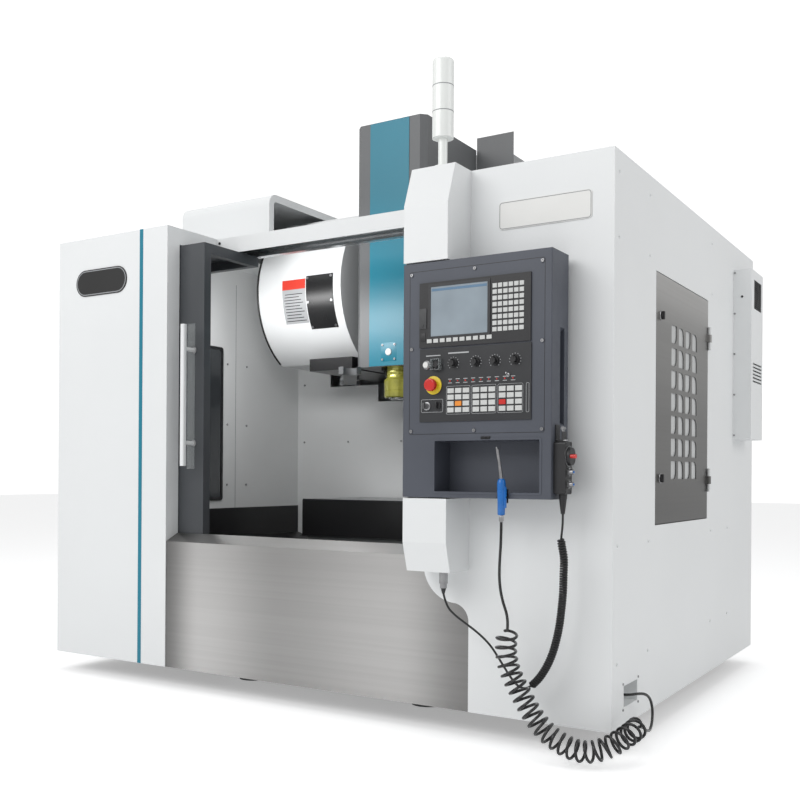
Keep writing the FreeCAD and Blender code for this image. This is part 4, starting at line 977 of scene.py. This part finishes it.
def doorDetails():
    screws = [(x, 71.8, 545) for x in (-1120, -1010, -900, -790, -680)]
    repeated("leftDoorScrews", capScrew(4, 2.4), screws, front, blackScrew, "left_door")
    for name, x0, x1, body in (("left", -1160, -605, "left_door"), ("right", 736, 1199, "right_door")):
        outer = roundedOutline(x0, x1, 766, 1512, 30)
        inner = roundedOutline(x0 + 10, x1 - 10, 776, 1502, 22)
        newPiece(name + "Gasket", *framePlate(outer, inner, "y", 84, 87.6), blackPlastic, body)
    plate = slab(-560, -519, 70.4, 72.6, 792, 1376, 0.5)
    newPiece("handlePlate", *plate, clearPlastic, "left_door", smooth=False)
    collar = [(13, -0.4), (13, 3), (10.5, 5), (8.2, 5)]
    collars = [turned(collar, (-524.5, 72, z), front, 28) for z in (895, 1268)]
    newPiece("handleCollars", *joinShapes(*collars), screwSteel, "left_door")
    roller = joinShapes(slab(-560, -520, 380, 404, 1697, 1712, 1.5),
                        turned([(9, -2), (9, 8), (7, 10)], (-540, 392, 1712), up, 24))
    newPiece("doorRoller", *roller, screwSteel, "left_door")


latch = {"y": 468, "places": ((767, "side_latch_lower"), (1322, "side_latch_upper"))}
cooler = {"front": guard["right"] + 75, "fanY": (1538, 1680), "fanZ": (1496, 1620), "hub": (1609, 1558),
          "blades": 7, "bladeReach": 38, "slatPitch": 15, "screwLevels": (1646, 1472, 1299, 1125, 951)}


def sideDetails():
    x, y = guard["right"], latch["y"]
    # A pale grey plate just behind the side slot stands in for the white inner wall further in: its grey is
    # painted light and shade of that wall.
    newPiece("slotBacking", *slab(x - 6, x - 4.2, 584, 950, 756, 1318), slotBack, "side_door", smooth=False)
    for z, body in latch["places"]:
        ring = turned([(17, -0.4), (17, 1.6), (15.6, 2.6), (14.4, 2.6)], (x, y, z), toRight, 32)
        newPiece("latchRing" + str(z), *ring, screwSteel, "side_door")
        wing = joinShapes(turned([(11, 4), (11, 6), (9, 7)], (x, y, z), toRight, 28),
                          slab(x + 4, x + 13, y - 5.5, y + 5.5, z - 14, z + 14, 2.5))
        newPiece("latchWing" + str(z), *wing, blackPlastic, body)
    spots = [(x + 0.2, y, z) for y in (40, 340, 1130, 1400) for z in (200, 560, 1500, 1700)
             if not (y == 1400 and z > 900)]
    repeated("sidePanelScrews", capScrew(5, 3), spots, toRight, whitePaint, "root")
    spots = [(x + 0.2, y, z) for y in (101, 245) for z in (50, 130)]
    repeated("recessScrews", capScrew(4, 2.4), spots, toRight, screwSteel, "root")


def coolerDetails():
    x = cooler["front"]
    (y0, y1), (z0, z1) = cooler["fanY"], cooler["fanZ"]
    bars = [slab(x - 2.4, x - 0.8, y0, y1, z, z + 3) for z in range(z0 + 6, z1, 9)]
    bars += [slab(x - 2.6, x - 0.6, y, y + 2, z0, z1) for y in range(y0 + 10, y1, 22)]
    newPiece("fanGrille", *joinShapes(*bars), blackScrew, "root", smooth=False)
    hubY, hubZ = cooler["hub"]
    hub = joinShapes(turned([(20, 0), (20, 5), (16, 7)], (x - 16, hubY, hubZ), toRight, 28),
                     slab(x - 20, x - 17, y0 - 6, y1 + 6, z0 - 6, z1 + 6))
    newPiece("fanHub", *hub, blackPlastic, "root")
    reach = cooler["bladeReach"]
    ways = [2 * math.pi * k / cooler["blades"] for k in range(cooler["blades"])]
    blades = [(x - 12, hubY + reach * math.cos(a), hubZ + reach * math.sin(a)) for a in ways]
    repeated("fanBlades", slab(-20, 20, -9, 9, -1, 1, 0.8), blades, (1, 0.35, 0.2), darkKey, "root")
    lows = [1186.6 + cooler["slatPitch"] * k for k in range(6)]
    slats = [slab(x - 3.2, x + 2.2, 1520, 1690, low, low + 1.8) for low in lows]
    newPiece("coolerSlats", *joinShapes(*slats), whitePaint, "root", smooth=False)
    spots = [(guard["right"] + 6, 1487.8, z) for z in cooler["screwLevels"]]
    repeated("coolerScrews", capScrew(4, 2.6), spots, front, screwSteel, "root")
    lamp = turned([(5, -0.3), (5, 2), (3.4, 3)], (1286, 1488, 1543), front, 20)
    newPiece("coolerLamp", *lamp, labelBlack, "root")


def rearDetails():
    spots = [(x, 1862.2, z) for x in (-1225, -900, -560, -300, 300, 560) for z in (60, 600, 1140, 1700)]
    repeated("rearScrews", capScrew(5, 3), spots, (0, 1, 0), whitePaint, "root")
    slats = [slab(780, 1100, 1861.6, 1866, z, z + 3, 0.8) for z in range(300, 516, 18)]
    newPiece("cabinetSlats", *joinShapes(*slats), whitePaint, "cabinet_door")
    spots = [(x, y, 1767) for x in (-1225, -900, -700, 700, 900, 1225) for y in (420, 1100, 1500, 1830)
             if abs(x) > 760 or y > 420]
    repeated("roofScrews", capScrew(5, 3), spots, up, whitePaint, "root")
    band = [(35.1, 0), (35.7, 0.6), (35.7, 2.4), (35.1, 3)]
    bands = [turned(band, (690, -60, z), up, 40, closed=False) for z in (1951, 2035)]
    newPiece("lampBands", *joinShapes(*bands), seamGrey, "root")


def trimDetails():
    rim = framePlate(roundedOutline(-1133, -837, 1525, 1628, 51),
                     roundedOutline(-1129, -841, 1529, 1624, 47), "y", -3.6, -2.8)
    newPiece("badgeRim", *rim, seamGrey, "root")
    plate = framePlate(roundedOutline(868, 1177, 1561, 1646, 10), roundedOutline(870, 1175, 1563, 1644, 8),
                       "y", -3.5, -2.8)
    newPiece("plateRim", *plate, seamGrey, "root")
    spots = [(-590, 289.8, z) for z in (1718, 1748)]
    repeated("beamScrews", capScrew(6, 3.6), spots, front, blackScrew, "root")


trimDetails()
doorDetails()
sideDetails()
coolerDetails()
rearDetails()
print("outside details made")
